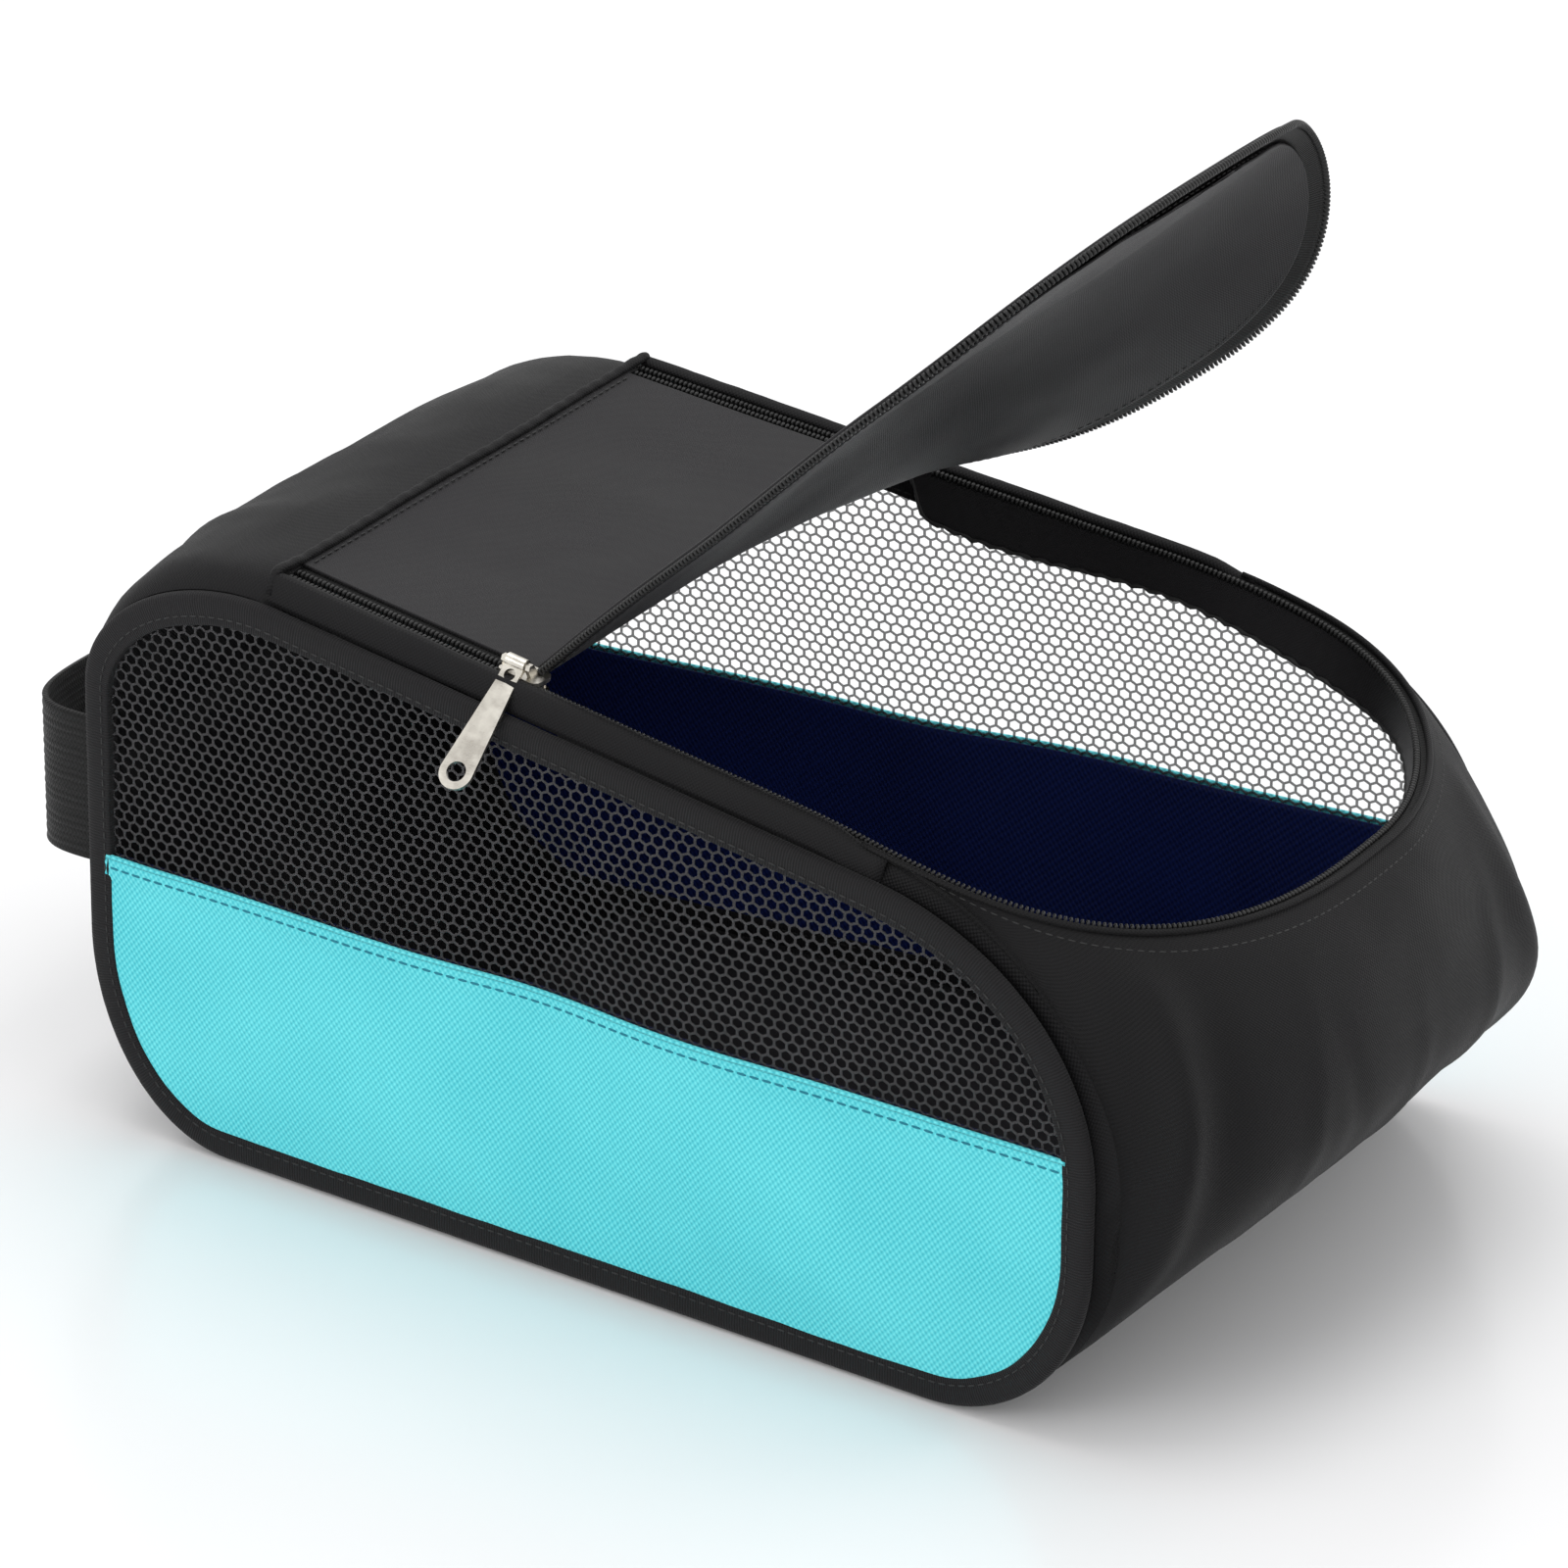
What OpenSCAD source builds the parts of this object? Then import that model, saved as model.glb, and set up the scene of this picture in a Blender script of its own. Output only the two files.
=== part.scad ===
// Golf shoe bag: a soft wedge-shaped case with two see-through sides, a lid that
// unzips round the toe and folds back, and a webbing carrying handle on the heel.
// +X points to the toe, +Y to the bag's left, +Z up. The origin is the middle of the base.

/* [Body] */
// Length of a side panel, heel to toe
bag_l = 350; // [330:1:370]
// Distance between the side panels at the heel
heel_w = 200; // [190:1:206]
// Distance between the side panels at the toe
toe_w = 242; // [234:1:250]
// Height of a side panel at the heel end
heel_h = 183; // [176:1:190]
// Height of a side panel at the toe end of its straight top edge
toe_h = 155; // [150:1:160]
// How far the toe bulges past the side panels
toe_bulge = 42; // [36:1:46]
// How far the heel bulges past the side panels
heel_bulge = 8; // [4:1:12]
// Thickness of the body cloth
cloth_t = 1.6; // [1.2:0.1:2.0]

/* [Side panels] */
// Height of the top edge of the lower cloth
lower_h = 88; // [78:1:96]
// How far the mesh runs down behind the lower cloth
mesh_overlap = 8; // [5:1:12]
// Width of the folded edge binding
binding_w = 9; // [8:0.5:11]
// Thickness of the folded edge binding
binding_t = 4.6; // [4.2:0.1:4.8]
// Thickness of each layer of a side panel
layer_t = 0.8; // [0.6:0.1:0.8]

/* [Top and lid] */
// Where the cross seam on the top lies, along X
seam_x = -108; // [-115:1:-100]
// Where the lid folds, along X
fold_x = -23; // [-30:1:-16]
// Height of the lid's plane above the side panels' top edges
rise = 8; // [7:0.5:9]
// Distance from the side panel's middle plane to the middle of the zip
zip_inset = 11; // [10.5:0.5:12]
// Where the straight sides of the opening end, along X
corner_x = 100; // [95:1:105]
// Length of the rounded front of the opening, along X
front_l = 91; // [86:1:96]
// Squareness of the rounded front of the opening
front_n = 2.6; // [2.2:0.1:3]
// Angle that the lid stands open, measured from closed
lid_open = 53; // [45:1:60]
// Depth of the facing inside the toe rim
facing_h = 16; // [12:1:20]

/* [Zip] */
// Half of the slot between the two rows of the coil
slot_r = 1.0; // [0.9:0.1:1.1]
// Distance from the middle of the zip to the back of the coil
coil_out = 3.1; // [3:0.1:3.2]
// Height of the coil
coil_h = 2.4; // [2.2:0.1:2.6]
// Distance from the middle of the zip to the edge of the cloth
cloth_gap = 5.5; // [5.3:0.1:5.8]
// Thickness of the zip tape
tape_t = 0.8; // [0.6:0.1:0.9]
// Length of a slider's plates
slider_l = 14; // [13:0.5:15]
// Width of a slider's plates
slider_w = 9.2; // [9:0.1:9.4]
// Thickness of a slider's plates
plate_t = 1.3; // [1.1:0.1:1.5]
// Angle that a pull tab hangs below level
tab_drop = 48; // [40:1:48]
// Distance from a pull tab's pivot to the middle of its end hole
tab_l = 35.5; // [30:0.5:38]
// Radius of a pull tab's rounded end
tab_end_r = 5.3; // [4.8:0.1:5.6]
// Radius of the hole in a pull tab's end
tab_hole_r = 3; // [2.6:0.1:3.2]

/* [Handle] */
// Width of the webbing
strap_w = 46; // [38:1:50]
// Thickness of the webbing
strap_t = 2; // [1.6:0.1:2.4]
// How far the strap stands off the heel
strap_out = 32; // [28:1:38]
// Height of the strap's lower edge
strap_z = 82; // [72:1:90]

/* [Hidden] */
$fn = 32;
// Corners of a side panel: middle and radii of each rounded corner
heel_top_r = [60, 42];
heel_low_r = [50, 64];
toe_top_r = [88, 76];
toe_low_r = [52, 56];
heel_top_c = [-bag_l / 2 + heel_top_r[0], heel_h - heel_top_r[1]];
heel_low_c = [-bag_l / 2 + heel_low_r[0], heel_low_r[1]];
toe_top_c = [bag_l / 2 - toe_top_r[0], toe_h - toe_top_r[1]];
toe_low_c = [bag_l / 2 - toe_low_r[0], toe_low_r[1]];

// The straight top edge and the plane of the lid
slope = atan((heel_h - toe_h) / (toe_top_c[0] - heel_top_c[0]));
flare = atan((toe_w - heel_w) / 2 / bag_l);
zip_flare = atan(tan(flare) * cos(slope));
mid_half_w = (heel_w + toe_w) / 4;
function top_z(x) = heel_h - (x - heel_top_c[0]) * tan(slope);
function half_w(x) = mid_half_w + x * tan(flare);
function inner_w(x) = half_w(x) - binding_t / 2;
function along(x) = (x - seam_x) / cos(slope);
fold_l = along(fold_x);
corner_l = along(corner_x);
zip_y0 = half_w(seam_x) - zip_inset;
zip_y_fold = half_w(fold_x) - zip_inset;
zip_y_corner = half_w(corner_x) - zip_inset;
front_n_inv = 2 / front_n;

// Heights in the lid's plane, measured from the middle of the top cloth
top_t = 1.2;
tape_z = -top_t / 2 - tape_t / 2;
slider_travel = 70;
bar_y = 3;
bar_z = 6.4;
bar_r = 0.8;
pivot_play = 0.1;
base_front = 118;
rim_tighter = 40;
toe_flat = 8;
toe_round = 1.4;
fold_gap = 2;
lid_zip_start = 8;

right = -1;
left = 1;
black = [0.09, 0.09, 0.1];
charcoal = [0.2, 0.19, 0.21];
cyan = [0.3, 0.87, 0.92];
navy = [0.05, 0.09, 0.26];
silver = [0.85, 0.83, 0.78];

// ---- Curves ----
function arc(c, r, a0, a1, n = 8) =
    [for (i = [0:n]) let (a = a0 + (a1 - a0) * i / n) [c[0] + r[0] * cos(a), c[1] + r[1] * sin(a)]];

// Lengths along a path, one per point
function run(p) = [for (i = 0, s = 0; i < len(p);
    s = s + (i + 1 < len(p) ? norm(p[i + 1] - p[i]) : 0), i = i + 1) s];

// n + 1 points spread evenly along a path
function spread(p, n) = let (
    s = run(p),
    full = s[len(s) - 1],
    xs = [for (i = [0:len(p) - 1]) [s[i], p[i][0]]],
    zs = [for (i = [0:len(p) - 1]) [s[i], p[i][1]]])
    [for (i = [0:n]) [lookup(full * i / n, xs), lookup(full * i / n, zs)]];

// Unit normal on the left of a path at point i
function left_normal(p, i) = let (
    d = p[min(i + 1, len(p) - 1)] - p[max(i - 1, 0)]) [-d[1], d[0]] / norm(d);
function shifted(p, d) = [for (i = [0:len(p) - 1]) p[i] + d * left_normal(p, i)];
function reversed(p) = [for (i = [len(p) - 1:-1:0]) p[i]];

// Outline of a side panel, drawn in by the given amount
function side_outline(inset) = concat(
    arc(heel_low_c, heel_low_r - [inset, inset], 180, 270),
    arc(toe_low_c, toe_low_r - [inset, inset], 270, 360),
    arc(toe_top_c, toe_top_r - [inset, inset], 0, 90 - slope),
    arc(heel_top_c, heel_top_r - [inset, inset], 90 - slope, 180));

// Middle of the zip, seen square to the lid: left seam end, round the toe, right seam end
function zip_half() = concat([[0, zip_y0]],
    [for (a = [90:-6:0]) [corner_l + front_l * pow(cos(a), front_n_inv),
        zip_y_corner * pow(sin(a), front_n_inv)]]);
function zip_line() = let (h = zip_half())
    concat(h, [for (i = [len(h) - 2:-1:0]) [h[i][0], -h[i][1]]]);

// A point in the lid's plane, carried into the bag's frame
function on_top_pt(l, y, h) =
    [seam_x + l * cos(slope) + h * sin(slope), y, top_z(seam_x) + rise - l * sin(slope) + h * cos(slope)];

// ---- Frames ----
module to_side(s) { mirror([0, s < 0 ? 1 : 0, 0]) children(); }

// Flat layer of a side panel, at a distance out from its middle plane
module side_layer(s, out, t) {
    to_side(s) translate([0, mid_half_w, 0]) rotate([0, 0, flare])
        translate([0, out + t / 2, 0]) rotate([90, 0, 0]) linear_extrude(t) children();
}

// The lid's plane: X runs forward from the cross seam, Z is square to the cloth
module on_top() {
    translate([seam_x, 0, top_z(seam_x) + rise]) rotate([0, slope, 0]) children();
}

// The zip beside the fold: X runs along it, Y points out, Z is up from the tape
module on_zip(s) {
    to_side(s) on_top() translate([fold_l, zip_y_fold, tape_z]) rotate([0, 0, zip_flare]) children();
}

// The lid as it stands open
module on_lid() {
    on_top() translate([fold_l, 0, 0]) rotate([0, -lid_open, 0]) translate([-fold_l, 0, 0]) children();
}

// ---- Shapes ----
// Closed sheet between two grids of points, each a list of rows
module sheet(outer, inner) {
    rows = len(outer);
    cols = len(outer[0]);
    n = rows * cols;
    function id(j, i) = j * cols + i;
    function quad(a, b, c, d) = [[a, b, c], [a, c, d]];
    skin = [for (j = [0:rows - 2], i = [0:cols - 2])
        each quad(id(j, i), id(j, i + 1), id(j + 1, i + 1), id(j + 1, i))];
    back = [for (f = skin) [f[2] + n, f[1] + n, f[0] + n]];
    ends = [for (i = [0:cols - 2]) each concat(
        quad(id(0, i + 1), id(0, i), id(0, i) + n, id(0, i + 1) + n),
        quad(id(rows - 1, i), id(rows - 1, i + 1), id(rows - 1, i + 1) + n, id(rows - 1, i) + n))];
    sides = [for (j = [0:rows - 2]) each concat(
        quad(id(j, 0), id(j + 1, 0), id(j + 1, 0) + n, id(j, 0) + n),
        quad(id(j + 1, cols - 1), id(j, cols - 1), id(j, cols - 1) + n, id(j + 1, cols - 1) + n))];
    polyhedron([for (r = concat(outer, inner)) each r], concat(skin, back, ends, sides), convexity = 6);
}

// Band of cloth: each column is a path in XZ at one share v of the half width
module band(cols, vs, t, turn) {
    outer = [for (j = [0:len(vs) - 1]) [for (p = cols[j]) [p[0], vs[j] * inner_w(p[0]), p[1]]]];
    inner = [for (j = [0:len(vs) - 1]) [for (i = [0:len(cols[j]) - 1])
        let (p = cols[j][i], m = left_normal(cols[j], i) * turn * t)
        [p[0] + m[0], vs[j] * inner_w(p[0] + m[0]), p[1] + m[1]]]];
    if (turn > 0) sheet(outer, inner); else sheet(reversed(outer), reversed(inner));
}

// How much of the heel's bulge, the toe's bulge and the rise a column has
function swell(v) = 1 - v * v;
function toe_swell(v) = 1 - pow(abs(v), 4);
function crown(v) = rise * (1 - pow(abs(v), 12));

module u_ring(from, to, h, z, start) {
    on_plane = zip_line();
    intersection() {
        translate([0, 0, z]) linear_extrude(h)
            polygon(concat(shifted(on_plane, to), reversed(shifted(on_plane, from))));
        translate([start, -toe_w, -50]) cube([bag_l, 2 * toe_w, 100]);
    }
}

module u_plate(inset, h, z, start) {
    intersection() {
        translate([0, 0, z]) linear_extrude(h) polygon(shifted(zip_line(), -inset));
        translate([start, -toe_w, -50]) cube([bag_l, 2 * toe_w, 100]);
    }
}

// ---- Body ----
// The front edge stops short of the toe cloth, which leans in over the seam
module bottom_panel() {
    front = base_front - 0.8;
    color(black) linear_extrude(cloth_t) polygon([
        [-base_front, -inner_w(-base_front)], [front, -inner_w(front)],
        [front, inner_w(front)], [-base_front, inner_w(-base_front)]]);
}

// Thin stiffening board that lies inside on the bottom panel
module base_board() {
    board_x = base_front - 8;
    edge = 6;
    color(black) translate([0, 0, cloth_t]) linear_extrude(2) polygon([
        [-board_x, -inner_w(-board_x) + edge], [board_x, -inner_w(board_x) + edge],
        [board_x, inner_w(board_x) - edge], [-board_x, inner_w(-board_x) - edge]]);
}

function heel_path(v) = let (
    out = heel_bulge * swell(v),
    low_c = heel_low_c - [out, 0],
    high_c = heel_top_c - [out, 0],
    high_r = heel_top_r + [0, crown(v)])
    concat([[-base_front, 0]], arc(low_c, heel_low_r, 270, 180), arc(high_c, high_r, 180, 90),
        [[seam_x, top_z(seam_x) + crown(v)]]);

module heel_panel() {
    vs = [for (a = [-90:11.25:90]) sin(a)];
    color(black) band([for (v = vs) spread(heel_path(v), 22)], vs, cloth_t, -1);
}

// Underside of the toe at share v, from the base up to the widest point
function toe_under(v) = let (
    k = toe_swell(v),
    beside = arc(toe_low_c, toe_low_r, 270, 360))
    [for (i = [0:8]) beside[i] * (1 - k) + k *
        [base_front + toe_flat + (bag_l / 2 + toe_bulge - base_front - toe_flat)
            * (1 - pow(1 - i / 8, toe_round)), toe_top_c[1] * i / 8]];

// Path of the toe cloth at share v, from the base to its upper edge at e = [x, z]
function toe_path(v, e) = let (
    k = toe_swell(v),
    r = toe_top_r[0] - rim_tighter * k,
    c = [toe_top_c[0] + (toe_bulge + rim_tighter) * k, toe_top_c[1]],
    past = e[0] > c[0],
    u = (e[0] - c[0]) / r,
    h = past ? (e[1] - c[1]) / sqrt(1 - u * u) : top_z(c[0]) + crown(v) - c[1])
    concat([[base_front, 0]], toe_under(v), arc(c, [r, h], 0, past ? acos(u) : 90),
        past ? [] : [e]);

module toe_panel() {
    edge = shifted(zip_line(), cloth_gap + cloth_t);
    last = len(edge) - 2;
    rim = [for (i = [last:-1:1]) on_top_pt(edge[i][0], edge[i][1], -0.2)];
    lip = on_top_pt(corner_l, -half_w(corner_x) + binding_t / 2, -rise + 1);
    ends = concat([lip], rim, [[lip[0], -lip[1], lip[2]]]);
    vs = [for (e = ends) max(-1, min(1, e[1] / inner_w(e[0])))];
    cols = [for (j = [0:len(ends) - 1]) spread(toe_path(vs[j], [ends[j][0], ends[j][2]]), 20)];
    color(black) band(cols, vs, cloth_t, 1);
}

// Narrow shoulder of cloth between the binding and the zip
module top_strip(s) {
    wall = zip_inset - binding_t / 2 - 0.1;
    color(black) intersection() {
        on_zip(s) rotate([90, 0, 90]) translate([0, 0, -fold_l]) linear_extrude(along(corner_x) + 10)
            polygon([[cloth_gap, -0.6], [cloth_gap, 0.8], [cloth_gap + 1.3, 0.8],
                [wall, 2 - rise], [wall, -1 - rise]]);
        on_top() translate([0, -toe_w, -50]) cube([corner_l, 2 * toe_w, 100]);
    }
}

module rear_top_panel() {
    end_y = half_w(fold_x) - zip_inset - cloth_gap;
    start_y = zip_y0 - cloth_gap;
    color(charcoal) on_top() translate([0, 0, -top_t / 2]) linear_extrude(top_t) polygon([
        [0, -start_y], [fold_l - fold_gap, -end_y], [fold_l - fold_gap, end_y], [0, start_y]]);
}

// Raised cross seam behind the zip
module rear_seam_piping() {
    color(black) on_top() translate([-0.5, -zip_y0 + cloth_gap, top_t / 2])
        cube([3, 2 * (zip_y0 - cloth_gap), 1.2]);
}

// ---- Side panels ----
module upper_part(z) { intersection() {
    children();
    translate([-bag_l, z]) square([2 * bag_l, heel_h]);
} }
module lower_part(z) { intersection() {
    children();
    translate([-bag_l, z - heel_h]) square([2 * bag_l, heel_h]);
} }

module mesh_panel(s) {
    color(black, 0.6) side_layer(s, 0, layer_t)
        upper_part(lower_h - mesh_overlap) polygon(side_outline(2));
}
module side_cloth(s) {
    color(cyan) side_layer(s, layer_t, layer_t) lower_part(lower_h) polygon(side_outline(2));
}
module side_backing(s) {
    color(navy) side_layer(s, -layer_t, layer_t) lower_part(lower_h) polygon(side_outline(2));
}

// Folded binding with the panel's layers held in its slot
module edge_binding(s) {
    slot_t = 3 * layer_t;
    lip_t = (binding_t - slot_t) / 2;
    color(black) {
        for (k = [-1, 1]) side_layer(s, k * (slot_t + lip_t) / 2, lip_t) difference() {
            polygon(side_outline(0));
            polygon(side_outline(binding_w));
        }
        side_layer(s, 0, slot_t) difference() {
            polygon(side_outline(0));
            polygon(side_outline(2));
        }
    }
}

// ---- Handle ----
module handle_strap() {
    n = 0.5;
    half = inner_w(-bag_l / 2) - 1;
    foot_x = -bag_l / 2 - 1;
    function bow(y, x) = [for (a = [-90:7.5:90])
        [foot_x - x * pow(cos(a), n), sign(a) * y * pow(abs(sin(a)), n)]];
    color(black) translate([0, 0, strap_z]) linear_extrude(strap_w)
        polygon(concat(bow(half, strap_out), reversed(bow(half - strap_t, strap_out - strap_t))));
}

// ---- Zip ----
module body_zip_tape() {
    color(black) on_top() u_ring(coil_out, cloth_gap, tape_t, tape_z - tape_t / 2, 0);
}
module body_zip_coil() {
    color(black) on_top() u_ring(slot_r, coil_out, coil_h, tape_z - coil_h / 2, 0);
}
module rear_zip_row(from, to, h) {
    color(black) for (s = [right, left]) intersection() {
        on_zip(s) translate([-fold_l - 10, -to, -h / 2]) cube([fold_l + 10, to - from, h]);
        on_top() translate([0, -toe_w, -50]) cube([fold_l, 2 * toe_w, 100]);
    }
}
module rear_zip_tapes() { rear_zip_row(coil_out, coil_out + 5, tape_t); }
module rear_zip_coils() { rear_zip_row(slot_r, coil_out, coil_h); }

// Facing that stands inside the toe rim under the tape
module toe_facing() {
    color(black) on_top() u_ring(3.2, 4, facing_h, tape_z - tape_t / 2 - facing_h, corner_l);
}

// ---- Lid ----
module lid_panel() {
    color(charcoal) on_lid() u_plate(cloth_gap, top_t, -top_t / 2, fold_l + fold_gap);
}
module lid_lining() {
    color(charcoal) on_lid() u_plate(coil_out + 6, tape_t, tape_z - tape_t / 2, fold_l + fold_gap);
}
module lid_zip_tape() {
    color(black) on_lid()
        u_ring(-coil_out - 5, -coil_out, tape_t, tape_z - tape_t / 2, fold_l + lid_zip_start);
}
module lid_zip_coil() {
    color(black) on_lid() u_ring(-coil_out, -slot_r, coil_h, tape_z - coil_h / 2, fold_l + lid_zip_start);
}

// ---- Sliders and pulls ----
// Outline of a slider's plate, narrower at the tail
function plate_outline(l, w) = let (nose_r = 2.5, tail_r = 1.5, tail_in = 0.4) concat(
    arc([-l / 2 + tail_r, -w / 2 + tail_r + tail_in], [tail_r, tail_r], 180, 270, 4),
    arc([l / 2 - nose_r, -w / 2 + nose_r], [nose_r, nose_r], 270, 360, 4),
    arc([l / 2 - nose_r, w / 2 - nose_r], [nose_r, nose_r], 0, 90, 4),
    arc([-l / 2 + tail_r, w / 2 - tail_r - tail_in], [tail_r, tail_r], 90, 180, 4));

module slider_body(s) {
    room = coil_h / 2 + 0.4;
    lip = 0.8;
    wall = slider_w / 2 - coil_out - 0.4;
    mid_x = -1;
    leg_t = 1.4;
    leg_x = 3.5;
    color(silver) on_zip(s) translate([mid_x, 0, 0]) {
        for (z = [room, -room - plate_t]) translate([0, 0, z])
            linear_extrude(plate_t) polygon(plate_outline(slider_l, slider_w));
        for (z = [lip, -room], y = [-slider_w / 2, slider_w / 2 - wall])
            translate([-slider_l / 2 + 1.5, y, z]) cube([slider_l - 4, wall, room - lip]);
        translate([slider_l / 2 - 5, -0.6, -room]) cube([4.5, 1.2, 2 * room]);
        for (x = [-leg_x - leg_t, leg_x]) translate([x - 1, 0, 0]) rotate([90, 0, 90])
            linear_extrude(leg_t) polygon([[-1.8, room + plate_t - 0.1], [2.4, room + plate_t - 0.1],
                [bar_y + 1.2, bar_z - 0.6], [bar_y + 0.9, bar_z + 0.9], [bar_y - 0.8, bar_z + 0.9]]);
        translate([-leg_x - 1.1, bar_y, bar_z]) rotate([0, 90, 0]) cylinder(h = 2 * leg_x + 0.2, r = bar_r);
    }
}

// Pull tab: a rolled eye on the slider's bar, a small window and a holed end
module pull_tab(s) {
    eye_w = 6.4;
    eye_r = 1.9;
    tab_t = 1.2;
    color(silver) on_zip(s) translate([-2, bar_y, bar_z]) rotate([-tab_drop, 0, 0]) difference() {
        union() {
            translate([-eye_w / 2, 0, 0]) rotate([0, 90, 0]) cylinder(h = eye_w, r = eye_r);
            translate([0, 0, -tab_t / 2]) linear_extrude(tab_t) polygon(concat(
                [[-eye_w / 2, 0], [-eye_w / 2, 7]],
                [for (p = arc([0, tab_l], [tab_end_r, tab_end_r], 180, 0, 16)) p],
                [[eye_w / 2, 7], [eye_w / 2, 0]]));
        }
        translate([-eye_w, 0, 0]) rotate([0, 90, 0]) cylinder(h = 2 * eye_w, r = bar_r + pivot_play);
        translate([0, eye_r + 2.3, -eye_r]) cylinder(h = 2 * eye_r, r = 1.8);
        translate([0, tab_l, -eye_r]) cylinder(h = 2 * eye_r, r = tab_hole_r);
    }
}

bottom_panel();
base_board();
heel_panel();
toe_panel();
top_strip(right);  // right_top_strip
top_strip(left);  // left_top_strip
rear_top_panel();
rear_seam_piping();
mesh_panel(right);  // right_mesh_panel
mesh_panel(left);  // left_mesh_panel
side_cloth(right);  // right_side_cloth
side_cloth(left);  // left_side_cloth
side_backing(right);  // right_side_backing
side_backing(left);  // left_side_backing
edge_binding(right);  // right_edge_binding
edge_binding(left);  // left_edge_binding
handle_strap();
body_zip_tape();
body_zip_coil();
rear_zip_tapes();
rear_zip_coils();
toe_facing();
lid_panel();
lid_lining();
lid_zip_tape();
lid_zip_coil();
slider_body(right);  // right_slider_body
slider_body(left);  // left_slider_body
pull_tab(right);  // right_pull_tab
pull_tab(left);  // left_pull_tab
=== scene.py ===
# Golf shoe bag with its lid open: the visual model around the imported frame, with its camera and lights.
import math
import bpy
import numpy as np
from mathutils import Matrix, Vector, noise


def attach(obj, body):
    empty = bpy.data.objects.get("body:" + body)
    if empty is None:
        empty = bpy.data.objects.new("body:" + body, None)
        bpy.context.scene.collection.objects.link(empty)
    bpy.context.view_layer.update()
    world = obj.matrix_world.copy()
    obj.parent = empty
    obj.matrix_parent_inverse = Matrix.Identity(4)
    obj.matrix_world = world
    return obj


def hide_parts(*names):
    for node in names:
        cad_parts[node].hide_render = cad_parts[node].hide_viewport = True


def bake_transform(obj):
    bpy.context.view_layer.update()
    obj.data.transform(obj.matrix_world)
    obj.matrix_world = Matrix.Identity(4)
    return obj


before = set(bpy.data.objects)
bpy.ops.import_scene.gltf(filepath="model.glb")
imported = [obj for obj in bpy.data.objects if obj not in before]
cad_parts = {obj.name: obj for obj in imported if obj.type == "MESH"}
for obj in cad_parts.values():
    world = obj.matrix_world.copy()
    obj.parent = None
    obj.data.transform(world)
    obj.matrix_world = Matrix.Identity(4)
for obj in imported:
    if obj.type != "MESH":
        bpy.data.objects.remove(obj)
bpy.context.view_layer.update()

MM = 0.001

# ---- Camera: the photograph's viewing angle ----
TARGET = Vector((0.004, -0.0013, 0.1144))
DISTANCE = 2.2587
AZIMUTH, ELEVATION, ROLL = (math.radians(a) for a in (30.63, 24.82, 0.76))
away = Vector((math.sin(AZIMUTH) * math.cos(ELEVATION), -math.cos(AZIMUTH) * math.cos(ELEVATION),
               math.sin(ELEVATION)))
side = Vector((0, 0, 1)).cross(away).normalized()
up = away.cross(side)
cam = bpy.data.objects.new("camera", bpy.data.cameras.new("camera"))
cam.data.sensor_width = 36
cam.data.lens = 177.075
cam.data.clip_end = 30
cam_x = side * math.cos(ROLL) + up * math.sin(ROLL)
cam_y = up * math.cos(ROLL) - side * math.sin(ROLL)
cam.matrix_world = Matrix.Translation(TARGET + away * DISTANCE) @ Matrix(
    (cam_x, cam_y, away)).transposed().to_4x4()
bpy.context.scene.collection.objects.link(cam)
bpy.context.scene.camera = cam

# ---- The bag's own measures in millimetres, as the CAD has them ----
BAG_L = 350  # side panel, heel to toe
HEEL_W, TOE_W = 200, 242  # between the side panels' middle planes
HEEL_H, TOE_H = 183, 155  # side panel, base to top edge
LOWER_H = 88  # top edge of the cyan cloth
BINDING_T = 4.6  # binding, from its outer to its inner face
BASE_FRONT = 118  # flat base, from the middle to either end
HEEL_BULGE, TOE_BULGE = 8, 42  # how far the end cloths swell past the side panels
TOE_FLAT, TOE_ROUND = 8, 1.4  # flat start of the toe's underside, and how round it is
RIM_TIGHTER = 40  # how much tighter the toe's top bend is at mid width
SEAM_X, FOLD_X, CORNER_X = -108, -23, 100  # cross seam, lid's fold, start of the zip's front curve
RISE = 8  # top cloth, above the side panels' top edge
ZIP_INSET = 11  # from a side panel's middle plane to the middle of the zip
FRONT_L, FRONT_N = 91, 2.6  # length and squareness of the zip's front curve
LID_OPEN = math.radians(53)  # lid at rest, above its closed plane
TAPE_Z = -1.0  # zip tape, from the top cloth's plane
SLOT_R, COIL_OUT, COIL_H = 1.0, 3.1, 2.4  # half the zip's slot, the coil's outer edge and its height
CLOTH_GAP = 5.5  # from the middle of the zip to the cloth's edge
STRAP_W, STRAP_OUT, STRAP_Z = 46, 32, 82  # handle: width, reach from the heel, lower edge
HEEL_TOP_R, HEEL_LOW_R, TOE_TOP_R, TOE_LOW_R = (60, 42), (50, 64), (88, 76), (52, 56)  # panel corners
HEEL_TOP_C = (-BAG_L / 2 + HEEL_TOP_R[0], HEEL_H - HEEL_TOP_R[1])
HEEL_LOW_C = (-BAG_L / 2 + HEEL_LOW_R[0], HEEL_LOW_R[1])
TOE_TOP_C = (BAG_L / 2 - TOE_TOP_R[0], TOE_H - TOE_TOP_R[1])
TOE_LOW_C = (BAG_L / 2 - TOE_LOW_R[0], TOE_LOW_R[1])
SLOPE = math.atan((HEEL_H - TOE_H) / (TOE_TOP_C[0] - HEEL_TOP_C[0]))
FLARE = math.atan((TOE_W - HEEL_W) / 2 / BAG_L)
MID_W = (HEEL_W + TOE_W) / 4
SIDES = ((-1, "right"), (1, "left"))  # sign of Y, and the word for it

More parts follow.
